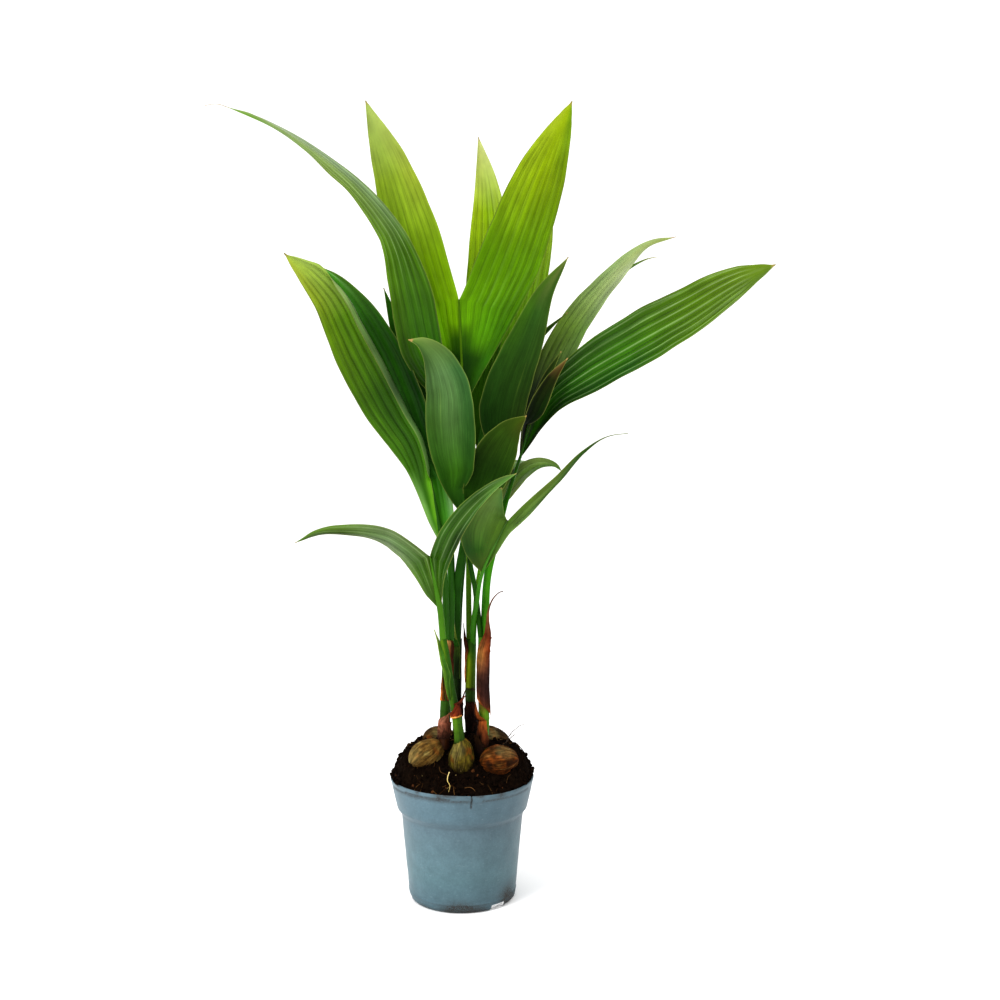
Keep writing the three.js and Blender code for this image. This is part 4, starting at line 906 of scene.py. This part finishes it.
# ---- leaves
# Each lobe's tones hold its colour with painted light and shade in it: darker stops where the lobe lies in
# shade and paler ones where it catches light.
LEAVES = {
    "leaf_tall": dict(
        petiole=[(6.3, 8.8, 237), (6, 9, 273), (6, 8, 314), (5, 6, 360), (3, 3, 405), (2, 0, 447)],
        split=(-2, 0, 542), girth=(2.6, 2), stalk=["5c8a1c", "587c14", "547a10"], slot="leaf_young",
        lobes=[dict(
            spine=[(-10, 1, 483), (-21, -1, 523), (-34, -5, 569), (-47, -10, 617), (-62, -15, 663),
            (-81, -20, 710)],
            width=54, widest=0.5, taper=2, up=[(0.25, -1, 0.1), (0.1, -1, 0.25)], relief=0.85,
            inner_push=[0, 0, 0, 0, -1, -3, -3.5, -3, -2, -1, 0], outer_push=[0, 0, 0, 0, 0, -0.5, -1.2,
            -1.5, -1, 0, 0],
            # The dark stops up to 0.16 are a painted cast shadow at the base of the lobe.
            tones=[(0, "1c3c08"), (0.16, "20480a/2c540a/4c7808"), (0.22, "3c6806/78b006/6c9c06"),
            (0.27, "78a804/78b006/6c9c06"), (0.5, "769a0c"), (0.75, "90a038/88a030/809828"), (1, "a4b468")]
        ), dict(
            spine=[(10, 1, 484), (22, 0, 524), (42, -2, 575), (62, -3, 625), (81, -5, 673), (97, -8, 712)],
            width=57, widest=0.54, taper=2, up=[(-0.25, -1, 0.1), (-0.1, -1, 0.25)], relief=0.85,
            inner_push=[0, 0, 0, 0, 0, 0, 0, 1, 2, 1.5, 0], outer_push=[0, 0, 0, 0, 0, 0, -1.5, -2, -1, 0,
            0],
            # The dark stops up to 0.16 are a painted cast shadow at the base of the lobe.
            tones=[(0, "142c04"), (0.16, "20480a/28500a/387006"), (0.22, "3c6806/58900a/407004"),
            (0.27, "649808/58900a/407004"), (0.5, "5a8404"), (0.75, "88a018/809808/688008"),
            (1, "a0b02c/90a414/70900c")])]),
    "leaf_tall_back": dict(
        petiole=[(-4.2, 11.4, 237), (-2, 18, 280), (3, 24, 325), (9, 30, 362), (14, 36, 403)],
        split=(37, 46, 517), girth=(3.2, 2.2), stalk=["285214", "30601a", "3c6c14"], slot="leaf_young",
        lobes=[dict(
            spine=[(18, 46, 471), (23, 58, 536), (25, 72, 602), (22, 88, 654), (14, 104, 701)],
            width=42, widest=0.5, taper=1.9, up=[(0.1, -1, 0.1), (0.1, -1, 0.5)],
            tones=["2c5006", "386406", "70980a", "90ac1c/88a810/9cb41c", "b8bc80"]
        ), dict(
            spine=[(32, 46, 467), (50, 60, 527), (64, 76, 579), (74, 92, 620), (85, 112, 663)],
            width=40, widest=0.5, taper=1.9, up=[(-0.2, -1, 0.1), (-0.1, -1, 0.5)],
            tones=["385c0a", "50800a", "608c0a", "789420", "8ca42c"])]),
    "leaf_arching_left": dict(
        petiole=[(-10.8, -5.8, 239), (-9.4, -6, 275), (-9.4, -8, 311), (-11, -10, 347), (-12, -12, 392)],
        split=(-22, -13, 458), girth=(3.9, 2.8), stalk=["2c6010", "28560e", "24500c"], slot="leaf",
        lobes=[dict(
            spine=[(-18, -16, 426), (-26, -20, 467), (-35, -25, 506), (-42, -29, 542), (-55, -36, 584),
            (-83, -46, 628), (-122, -62, 662), (-158, -78, 682), (-188, -94, 691)],
            width=40, widest=0.38, taper=1.3, up=[(0.1, -1, 0.1), (0.5, -0.45, 1)], ribs=[0, 0, 0, 0.05,
            0.4, 0.6, 0.4, 0.1], ridge=(0.5, 2.5),
            inner_push=[0, 0, 0, 0, 0, -2, -6, -1, 4, 5, 3.5, 0], outer_push=[0, 0, 0, 0, 0, 0, 0, 0.5, 2,
            2.5, 2, 0],
            tones=["204004/2c5808/244c08", "244406/34640a/285804", "50780c/3c600c/406406",
            "708838/7c9450/809470", "588428/80945c/849468"]
        ), dict(
            spine=[(-25, -9, 432), (-37, -6, 469), (-54, 2, 509), (-69.5, 14, 553)],
            width=22, widest=0.45, taper=1.6, up=[(0, -1, 0), (0.2, -1, 0.3)],
            tones=["1c4808", "245006", "285810"])]),
    "leaf_left": dict(
        petiole=[(-13.6, -10.2, 239), (-14, -14, 276), (-15, -18, 299), (-16, -21, 323)],
        split=(-26, -26, 384), girth=(3.2, 2.6), stalk=["2c5c10", "28540e", "24500c"], slot="leaf",
        lobes=[dict(
            spine=[(-34, -34, 393), (-60, -42, 441), (-85, -52, 493), (-107, -62, 536), (-143, -82, 575)],
            width=42, widest=0.52, taper=2, up=[(-0.1, -1, 0.2), (-0.3, -1, 0.5)], relief=1.3,
            fold=(0.13, 150),
            inner_push=[0, 0, 0, 0, 0, 0, 0, 0, 1, 5, 6.5, 0], outer_push=[0, 0, -2, -4, -4, -1.5, 0, 1,
            1.5, 1, 1, 0],
            # Near the base the paler codes are painted highlights, and the dark stop at 0.5 is painted shade.
            tones=[(0, "68a030/5c9828/78a850"), (0.14, "68a020/3c7010/7cac58"),
            (0.27, "50880e/30580c/3c680e"), (0.5, "284c04/2c5004/3c6006"), (0.75, "507806/4c7006/587804"),
            (1, "a4b85c/a4b84c/a4b03c")]
        ), dict(
            spine=[(-30, -24, 401), (-46, -25, 450), (-66, -20, 496), (-89, -11, 534), (-108, -2, 558),
            (-124, 6, 571)],
            width=30, widest=0.5, taper=1.9, up=[(-0.1, -1, 0), (-0.2, -1, 0.5)],
            outer_push=[7, 9.5, 7, 2.5, 0, 0.5, 1, 1.5, 2, 1, 0],
            tones=[(0, "306010/488820/589040"), (0.2, "306810/3c781c/709460"),
            (0.34, "285818/285818/1c5404"), (0.5, "20500a/2c6014/103406"), (0.75, "224e08"),
            (1, "38701c/4c9020/3c6414")])]),
    "leaf_centre_front": dict(
        petiole=[(-5.4, 6.6, 237), (-5.2, 4, 258), (-4, -5, 285), (1.2, -14, 321), (4, -22, 349)],
        split=(2, -28, 377), girth=(4, 3.8), stalk=["245010", "224a10", "2c5416"], slot="leaf_old",
        lobes=[dict(
            spine=[(-4, -38, 392), (-8, -50, 433), (-10, -57, 465), (-19, -61, 490), (-31, -62, 502),
            (-43, -60, 505)],
            width=42, widest=0.5, taper=2.2, up=[(0.1, -1, 0.05), (-0.2, -1, 0.8)], relief=0.3, matt=1,
            dry=0.9,
            tones=["2c5418", "244810/386414/28500e", "2c5020/486834/385820", "385c30/587848/486438",
            "6c8040/506828/3c5824"]
        ), dict(
            spine=[(19, -36, 380), (31, -46, 407), (44, -54, 429), (57, -60, 441)],
            width=38, widest=0.5, taper=1.9, up=[(-0.2, -1, 0), (0, -1, 0.5)], relief=0.3, matt=1, dry=0.6,
            tones=["1c3808", "20400a", "182c06/1c3408/203c08", "2c440e", "38480e/404c0e/383810"])]),
    "leaf_centre_back": dict(
        petiole=[(16.9, -3, 241), (14.6, -0.5, 262), (12, -1, 283), (7, -3, 314), (9, -5, 346),
        (15, -7, 373)], split=(24, -8, 418), girth=(2.4, 2), stalk=["2c5c14", "22480e", "223f0e"],
        slot="leaf_old",
        lobes=[dict(
            spine=[(34, -12, 436), (42, -15, 467), (58, -20, 508), (73, -25, 546), (93, -34, 576)],
            width=42, widest=0.34, taper=1.7, up=[(-0.2, -1, 0.1), (0, -1, 0.4)], relief=0.3, matt=1,
            tones=["1c380c", "18380c/204010/283c10", "284814/244010/20380e", "385c14/2c4c18/304c18",
            "4c6424/606c34/345018"]
        ), dict(
            spine=[(29, 4, 422), (44, 14, 460), (60, 20, 497), (77, 23, 516), (96, 25, 532)],
            width=15, widest=0.35, taper=1.3, up=[(0, -1, 0), (0, -1, 0.5)], matt=1,
            tones=["183408", "203c0a", "24400a"])]),
    "leaf_right": dict(
        petiole=[(20, 0.3, 241), (22.6, 4, 293), (30, 6, 329), (40, 8, 364), (52, 8, 400)],
        split=(62, 8, 431), girth=(3.2, 2.6), stalk=["3a8012", "307010", "245408"], slot="leaf",
        lobes=[dict(
            spine=[(68, 16, 445), (85, 30, 485), (110, 45, 528), (138, 58, 563), (171, 71, 596),
            (200, 80, 605)],
            width=36, widest=0.42, taper=1.7, up=[(-0.1, -1, 0.1), (-0.2, -0.8, 1)], matt=0.6, dry=0.8,
            inner_push=[0, 0, 0, -3, -6, -7.5, -6, -5, -3, -1, 0], outer_push=[0, 0, 0, 0, 0, 0, 1, 1, 1, 0,
            0],
            tones=["102804", "1e2e0e", "688840/789840/688430", "a4b088/a8b880/98b074",
            "78883c/7c8834/94a068"]
        ), dict(
            spine=[(78, 0, 453), (110, -15, 481), (154, -34, 508), (197, -52, 532), (232, -66, 552),
            (262, -78, 566)],
            width=48, widest=0.62, taper=2.3, up=[(0, -1, 0.4), (0, -1, 0.7)], relief=1.25, ribs=[0.3],
            inner_push=[0, 0, 0, 0, 0, 0, 0, 0, 1, 3, 0], outer_push=[0, -1, 0, 2.5, 3.5, 3, 2, 1, 0, 0, 0],
            tones=["0c2404/30600e/081c04", "183804/205004/183c04", "305804/386806/205004", "4a6a06",
            "607818/58700e/546c20"])]),
    "leaf_folded": dict(
        petiole=[(21.5, -4.9, 241), (24.2, -6, 293), (32, -6, 328), (43, -9, 373), (54, -14, 409)],
        split=(59, -17, 432), girth=(2.6, 1.8), stalk=["48881a", "347010", "1c3808"], slot="leaf_old",
        lobes=[dict(
            spine=[(61, -23, 432), (70, -27, 454), (80, -30, 473), (93, -34, 490)],
            width=16, widest=0.45, taper=1.6, up=[(0.5, -1, 0), (0.3, -1, 0.3)], dry=1,
            tones=["081004", "060c04", "102804/182806/0e1c04", "182006/202808/181c06",
            "4c2810/604c28/7c6038"]
        ), dict(
            spine=[(63, -16, 438), (71, -16, 461), (79, -17, 480), (88, -19, 496)],
            width=13, widest=0.45, taper=1.6, up=[(-0.4, -1, 0), (-0.2, -1, 0.3)], dry=0.6,
            tones=["081004", "060c04", "1c2c0a", "283810/283810/102004", "24380a"])]),
    "leaf_low_right": dict(
        petiole=[(9.8, 5, 237), (11, -2.4, 255), (13.2, -9, 270), (19, -22, 301)], split=(41, -34, 349),
        girth=(2.9, 1.5), stalk=["3c7c12", "3a7418", "48682c"], slot="leaf",
        lobes=[dict(
            spine=[(18, -34, 323), (20, -46, 344), (25, -56, 362), (36, -64, 380)],
            width=38, widest=0.5, taper=2, up=[(0.1, -1, 0.1), (0.1, -1, 0.5)], relief=0.25, matt=1,
            spots=1,
            tones=["425218", "40601c/2c5410/244814", "507020/587830/406020", "587834/648040/58702c",
            "406438/587838/506c30"]
        ), dict(
            spine=[(38, -34, 336), (60, -50, 360), (83, -66, 385), (104, -82, 411), (122, -94, 424),
            (139, -104, 428)],
            width=15, widest=0.35, taper=1.3, up=[(-0.4, -1, 0.5), (-0.2, -0.6, 1)], dry=0.4,
            inner_push=[0, 0, 1, 2, 2, 2, 1.5, 1, 0], outer_push=[0, -1, -3, -3, -3, -2.5, -1.5, -1, 0],
            tones=["2c4810", "507428/60803c/6c8c48", "546828/587030/305020", "3c501c/2c5020/284018",
            "364a24"])]),
    "leaf_low_left": dict(
        petiole=[(-16, -28.2, 244), (-18, -34, 270)], split=(-26, -46, 319), girth=(2.9, 2.6),
        stalk=["4c7c18", "3f7014"], slot="leaf",
        lobes=[dict(
            spine=[(-34, -50, 308), (-51, -62, 328), (-70, -72, 341), (-98, -82, 346), (-118, -90, 345),
            (-135, -98, 337)],
            width=23, widest=0.33, taper=1.5, up=[(-0.2, -1, 0.1), (0.1, -0.35, 1)], ribs=[0.25],
            inner_push=[0, -1, -2, -2, 0, 1, 1, 2, 2.5, 2, 0], outer_push=[0, 0, -2, -4, -5, -4, -1, 0.5,
            1.5, 2, 0],
            tones=["304808/34500c/2c5408", "486818/487020/608438", "687c50/688054/809070",
            "587430/486020/1c3008", "507010/385808/1c3408"]
        ), dict(
            spine=[(-19, -58, 308), (-10, -72, 336), (6, -84, 361), (26, -94, 381), (48, -102, 395)],
            width=20, widest=0.5, taper=2.8, up=[(0.2, -1, 0.2), (-0.3, -0.8, 0.9)], ribs=[0.25],
            tones=["283c04/304804/304804", "2c5008/386010/285006", "386018/305014/183008",
            "24400e/385818/406824", "507038/588038/749858"])]),
    "leaf_small_back": dict(
        petiole=[(10.6, 10.4, 237), (13, 18, 280), (20, 22, 316), (31, 26, 348)], split=(37, 30, 362),
        girth=(2, 1.6), stalk=["6a9a1c", "5c9018", "4c7c18"], slot="leaf",
        lobes=[dict(
            spine=[(43, 40, 372), (56, 50, 387), (71, 58, 394), (85, 64, 392), (93, 68, 385)],
            width=19, widest=0.5, taper=2.2, up=[(-0.3, -1, 0.6), (0, -0.7, 1)],
            tones=["40581c", "506428/607038/607038", "304018/587830/607848", "789048/789848/487418",
            "4c701c"]
        ), dict(
            spine=[(34, 50, 366), (40, 74, 382), (50, 100, 392), (64, 124, 391)],
            width=22, widest=0.5, taper=1.9, up=[(0, -1, 0), (0, -0.4, 1)],
            tones=["3c6418", "4c7420", "5c8430"])]),
}
BLADE = 0.36
PLEAT_WIDTH = 6.8
COLUMNS_A_PLEAT = 10
LOBE_ROWS = 130
LEAF_MATERIALS = {"leaf_young": LEAF_YOUNG, "leaf": LEAF, "leaf_old": LEAF_OLD}


def outline(u, widest, taper):
    low = 1 - (1 - np.minimum(u, widest) / widest) ** 2
    high = 1 - (np.clip(u - widest, 0, 1) / (1 - widest)) ** taper
    return np.where(u < widest, low, high)


def make_lobe(leaf, index, seed):
    lobe = leaf["lobes"][index]
    base, split = (np.array(p, float) for p in (leaf["petiole"][-1], leaf["split"]))
    rows = LOBE_ROWS
    pleats = max(3, round(lobe["width"] / PLEAT_WIDTH))
    cols = COLUMNS_A_PLEAT * pleats + 1
    spine = spaced([base, *lobe["spine"]], rows)
    other = spaced([base, *leaf["lobes"][1 - index]["spine"]], rows)
    along = unit(np.gradient(spine, axis=0))
    length = run_of(spine)[-1]
    u = np.linspace(0, 1, rows)
    up = [unit(p) for p in lobe["up"]]
    up = lerp(up[0], up[1], smooth(u)[:, None])
    up = unit(up - along * np.sum(up * along, 1, keepdims=True))
    across = np.cross(along, up)
    probe = int(rows * 0.4545)
    sign = np.sign((other[probe] - spine[probe]) @ across[probe]) or 1
    rag = 1 + 0.02 * noise(grid3(u * 17, seed, 0))
    rag = rag + 0.05 * noise(grid3(u * 60, seed, 4)) * smooth((u - 0.9) / 0.08)
    half = lobe["width"] / 2 * outline(u, lobe["widest"], lobe["taper"]) * rag
    sides = []
    for key in ("outer_push", "inner_push"):
        push = lobe.get(key, [0])
        reach = half + stretched(push, u) * smooth((1 - u) / 0.03)
        sides.append(np.maximum(reach, 0.5)[:, None] * across * sign)
    outer, free = spine - sides[0], spine + sides[1]
    rachis = split - base
    split_at = np.linalg.norm(rachis) / length
    joined = base + rachis * np.clip(u / split_at, 0, 1)[:, None]
    inner = lerp(joined, free, smooth((u - split_at * 0.95) / (split_at * 0.7))[:, None])
    width = np.linalg.norm(outer - inner, axis=1)[:, None]
    v = np.linspace(0, 1, cols)
    v = np.concatenate([[0, 0.006], v[1:-1], [0.994, 1]])
    spread = lerp(inner[:, None], outer[:, None], v[None, :, None])
    bow = -0.12 * 4 * v * (1 - v) * width
    fade = smooth(u / 0.12)[:, None] * smooth((1 - u) / 0.06)[:, None]
    phase = v[None, :] * pleats + 0.12 * noise(grid3(u[:, None] * 3, v[None, :] * pleats, seed))
    fold = np.abs(np.sin(math.pi * phase)) ** 0.8 - 0.6
    detail = smooth((width / pleats - 2.0) / 3.4)
    relief = lobe.get("relief", 1)
    crest = np.minimum(width / pleats * 0.17, 1.2) * fade * relief * detail
    edge = (2 * v[None, :] - 1) ** 2
    wave = 1.1 * edge * fade * noise(grid3(u[:, None] * length / 26, np.sign(v[None, :] - 0.5), seed + 3))
    rise = bow + crest * fold + wave
    if "ridge" in lobe:
        at, height = lobe["ridge"]
        rise = rise + height * fade * np.maximum(0, 1 - np.abs(v - at) / 0.5)
    grid = spread + up[:, None] * rise[..., None]
    if "fold" in lobe:
        at, turn = lobe["fold"]
        turn = math.radians(turn) * smooth((u - 0.2) / 0.08) * smooth((0.93 - u) / 0.12)
        inward = unit(inner - outer)[:, None]
        away = np.maximum(at - v, 0)[None, :, None] * width[:, None]
        hinge = lerp(inner, outer, at)[:, None] + up[:, None] * np.minimum(bow, 0)[:, :1, None]
        cos, sin = np.cos(turn)[:, None, None], np.sin(turn)[:, None, None]
        bent = hinge + away * (inward * cos + up[:, None] * sin)
        bent = bent + up[:, None] * (0.8 + crest * fold)[..., None]
        grid = np.where((v < at)[None, :, None], bent, grid)
    thick = BLADE * (0.6 + 0.4 * smooth(np.minimum(v, 1 - v) * 30))[None, :] * (0.5 + 0.5 * detail)
    shell = sheet(grid, thick, phase, v)
    faces_up = np.sum(shell.normal[rows // 2, cols // 2] * up[rows // 2]) > 0
    under = (shell.side == 1) == faces_up
    # The tones carry painted light and shade along with the leaf's own colour.
    tone = paired(lobe["tones"], shell.u, shell.v)
    valley = np.abs((shell.grain[:, 2] + 0.5) % 1 - 0.5)
    shell.detail = np.tile(np.repeat(detail.ravel(), len(v)), 2)
    # Painted shade in the pleats: a dark line in each valley, a fainter one halfway up each side, and darker
    # valleys than crests.
    crease_shade = 0.34 * hump(valley, 0.06) + 0.1 * hump(valley - 0.27, 0.04)
    tone = tone * (1.04 - shell.detail * relief * (crease_shade + 0.05 * np.cos(TAU * shell.grain[:, 2])))[:, None]
    ribs = shell.detail * stretched(lobe.get("ribs", [0]), shell.u) * hump(valley - 0.5, 0.05)
    tone = lerp(tone, linear("b9cf9a"), ribs[:, None])
    matt = tone * 0.6 + 0.4 * tone.mean(1, keepdims=True) * [0.95, 1.2, 0.8] + 0.012
    tone = np.where(under[:, None], matt * 1.08, tone)
    rim = np.minimum(shell.v, 1 - shell.v) * np.tile(np.repeat(width.ravel(), len(v)), 2)
    tone = lerp(tone, linear("a9b45c"), 0.4 * np.exp(-rim / 0.35)[:, None])
    shell.tone = tone
    dry = lobe.get("dry", 0.55)
    shell.wear_and_shade[:, 0] = dry * smooth((shell.u - 0.975 + 0.012 * dry) / 0.025)
    shell.wear_and_shade[:, 1] = lobe.get("spots", 0.12)
    shell.wear_and_shade[:, 2] = np.where(under, 1.0, lobe.get("matt", 0))
    return shell


def make_stalk(leaf, seed):
    """The grooved petiole and, above it, the rachis between the lobes."""
    line = spaced([*leaf["petiole"], leaf["split"]], 150)
    foot = line[0] - unit(line[1] - line[0]) * np.linspace(7, 0.6, 8)[:, None]
    line = np.vstack([foot, line])
    sides = 20
    u = np.linspace(0, 1, len(line))[:, None]
    a = round_angles(sides)[None, :]
    foot_girth, girth = leaf["girth"]
    r = np.interp(u, [0, 0.12, 0.55, 1], [foot_girth, foot_girth, girth, 0.7])
    r = r * (1 - 0.16 * hump(a - TAU * 0.75, 0.5))
    r = r + 0.035 * np.cos(a * 9) + 0.07 * noise(grid3(np.cos(a), np.sin(a), u * 14), seed)
    shell = tube(line, r, sides)
    tone = shades(leaf["stalk"], shell.u + 0.06 * noise(shell.co * 0.2, seed))
    # Paler on the ridges and darker in the grooves between them: painted shade.
    shell.tone = tone * (1 + 0.12 * np.cos(shell.v * TAU * 9))[:, None]
    shell.wear_and_shade[:, 1] = 0.05
    return shell


def make_sliver(points, width, dry):
    """A narrow torn sliver of leaf."""
    rows, up = 40, (0, -0.6, 1)
    line = spaced(points, rows)
    along = unit(np.gradient(line, axis=0))
    across = unit(np.cross(along, up))
    s = np.linspace(-1, 1, 7)
    u = np.linspace(0, 1, rows)
    half = np.maximum(width / 2 * (1 - u**1.8), 0.12)[:, None]
    hollow = -0.3 * half * (1 - s * s)
    grid = line[:, None] + across[:, None] * (half * s)[..., None] + unit(up) * hollow[..., None]
    shell = sheet(grid, 0.26, s[None, :])
    shell.tone = shades(["6a9650", "7f9c4c", "a99a58"], shell.u)
    shell.wear_and_shade[:, 0] = dry
    return shell


SLIVERS = {
    "leaf_arching_left": (
        [(-186, -93, 690.5), (-192, -95, 692), (-198, -97, 691.5), (-203, -98, 690)], 0.7, 1),
    "leaf_right": ([(148, 64, 570), (160, 69, 578), (173, 73, 584), (184, 75, 586)], 4, 0.2),
}


def make_leaf(name, leaf):
    seed = 100 + 10 * sorted(LEAVES).index(name)
    shells = [make_stalk(leaf, seed), make_lobe(leaf, 0, seed + 1), make_lobe(leaf, 1, seed + 2)]
    if name in SLIVERS:
        shells.append(make_sliver(*SLIVERS[name]))
    piece(name + "_blade", shells, LEAF_MATERIALS[leaf["slot"]], leaf["slot"], name)


# ---- roots
ROOTS = {
    "root_front": [(-10.5, -39, 125), (-11.5, -46, 119.5), (-9.5, -53, 117), (-10, -60, 113.5)],
    "root_right_low": [(36, 2, 136), (42, 3, 142), (48, 5, 147), (53, 6, 147)],
    "root_right_high": [(38, 8, 134), (44, 9, 146), (51, 9, 153), (57, 8, 156)],
}


def make_root(name, points):
    line = spaced(points, 48) + [0, -0.6, 1.3]
    line = line + 0.35 * np.stack([noise(grid3(np.arange(48) * 0.2, k, 7)) for k in range(3)], -1)
    shell = tube(line, np.linspace(0.5, 0.2, 48) * (1 + 0.15 * np.sin(np.arange(48))), 8)
    codes = ["d8c487", "c9b168", "b39a58"] if name == "root_front" else ["2c2014", "3c2c1e", "5c4c38"]
    shell.tone = shades(codes, shell.u)
    shells = [shell]
    for k in range(5):
        at = line[8 + 7 * k]
        way = unit(RNG.normal(size=3) * [1, 1, 0.6])
        path = spaced([at, at + way * 1.5, at + way * 3 + [0, 0, -0.6]], 8)
        hair = tube(path, np.linspace(0.14, 0.05, 8), 4)
        hair.tone[:] = shades(codes, 0.8)
        shells.append(hair)
    piece(name + "_thread", shells, ROOT, "root", name)


# ---- assembly
make_pot()
make_soil()
for key, spec in NUTS.items():
    make_nut(key, **spec)
for key, spec in STEMS.items():
    make_stem(key, **spec)
for key, spec in SHEATHS.items():
    make_sheath(key, *spec)
for key, spec in LEAVES.items():
    make_leaf(key, spec)
for key, spec in ROOTS.items():
    make_root(key, spec)


# ---- stage, light and camera
def make_floor():
    g = Nodes("floor")
    cloud = g.noise(g.add("TexCoord", "Object"), 3.0, 2, 0.5)
    shade = g.span(cloud, 0.3, 0.7, 0.93, 0.95)
    colour = g.level(shade)
    material = g.surface(g.add("BsdfPrincipled", inputs={
        "Base Color": colour, "Roughness": 0.9, "Specular IOR Level": 0.1}))
    mesh = bpy.data.meshes.new("floor")
    a = np.arange(64) * TAU / 64
    mesh.from_pydata([(9 * math.cos(t), 9 * math.sin(t), -0.0002) for t in a], [], [tuple(range(64))])
    mesh.materials.append(material)
    new_object("floor", mesh)


def area_light(name, at, size, energy):
    data = bpy.data.lights.new(name, "AREA")
    data.shape, data.size, data.energy = "DISK", size, energy
    obj = new_object(name, data)
    obj.location = at
    aim = np.array([0.03, 0, 0.4]) - np.array(at)
    obj.rotation_mode = "QUATERNION"
    obj.rotation_quaternion = Vector(aim).to_track_quat("-Z", "Y")


make_floor()
world = bpy.data.worlds.new("studio")
world.use_nodes = True
world.node_tree.nodes["Background"].inputs["Color"].default_value = (1, 1, 1, 1)
world.node_tree.nodes["Background"].inputs["Strength"].default_value = 1.08
bpy.context.scene.world = world
area_light("key", (-1.2, -1.3, 1.9), 0.9, 36)
area_light("fill", (1.6, -1.0, 1.2), 1.4, 5)

camera = new_object("camera", bpy.data.cameras.new("camera"))
camera.data.lens, camera.data.sensor_width = 48.38, 36
camera.data.clip_start, camera.data.clip_end = 0.05, 60
camera.location = (0.0345, -1.2, 0.4722)
camera.rotation_euler = (math.radians(90 - 5.16), 0, 0)
bpy.context.scene.camera = camera
bpy.context.scene.view_settings.view_transform = "Standard"
bpy.context.scene.view_settings.look = "Medium High Contrast"
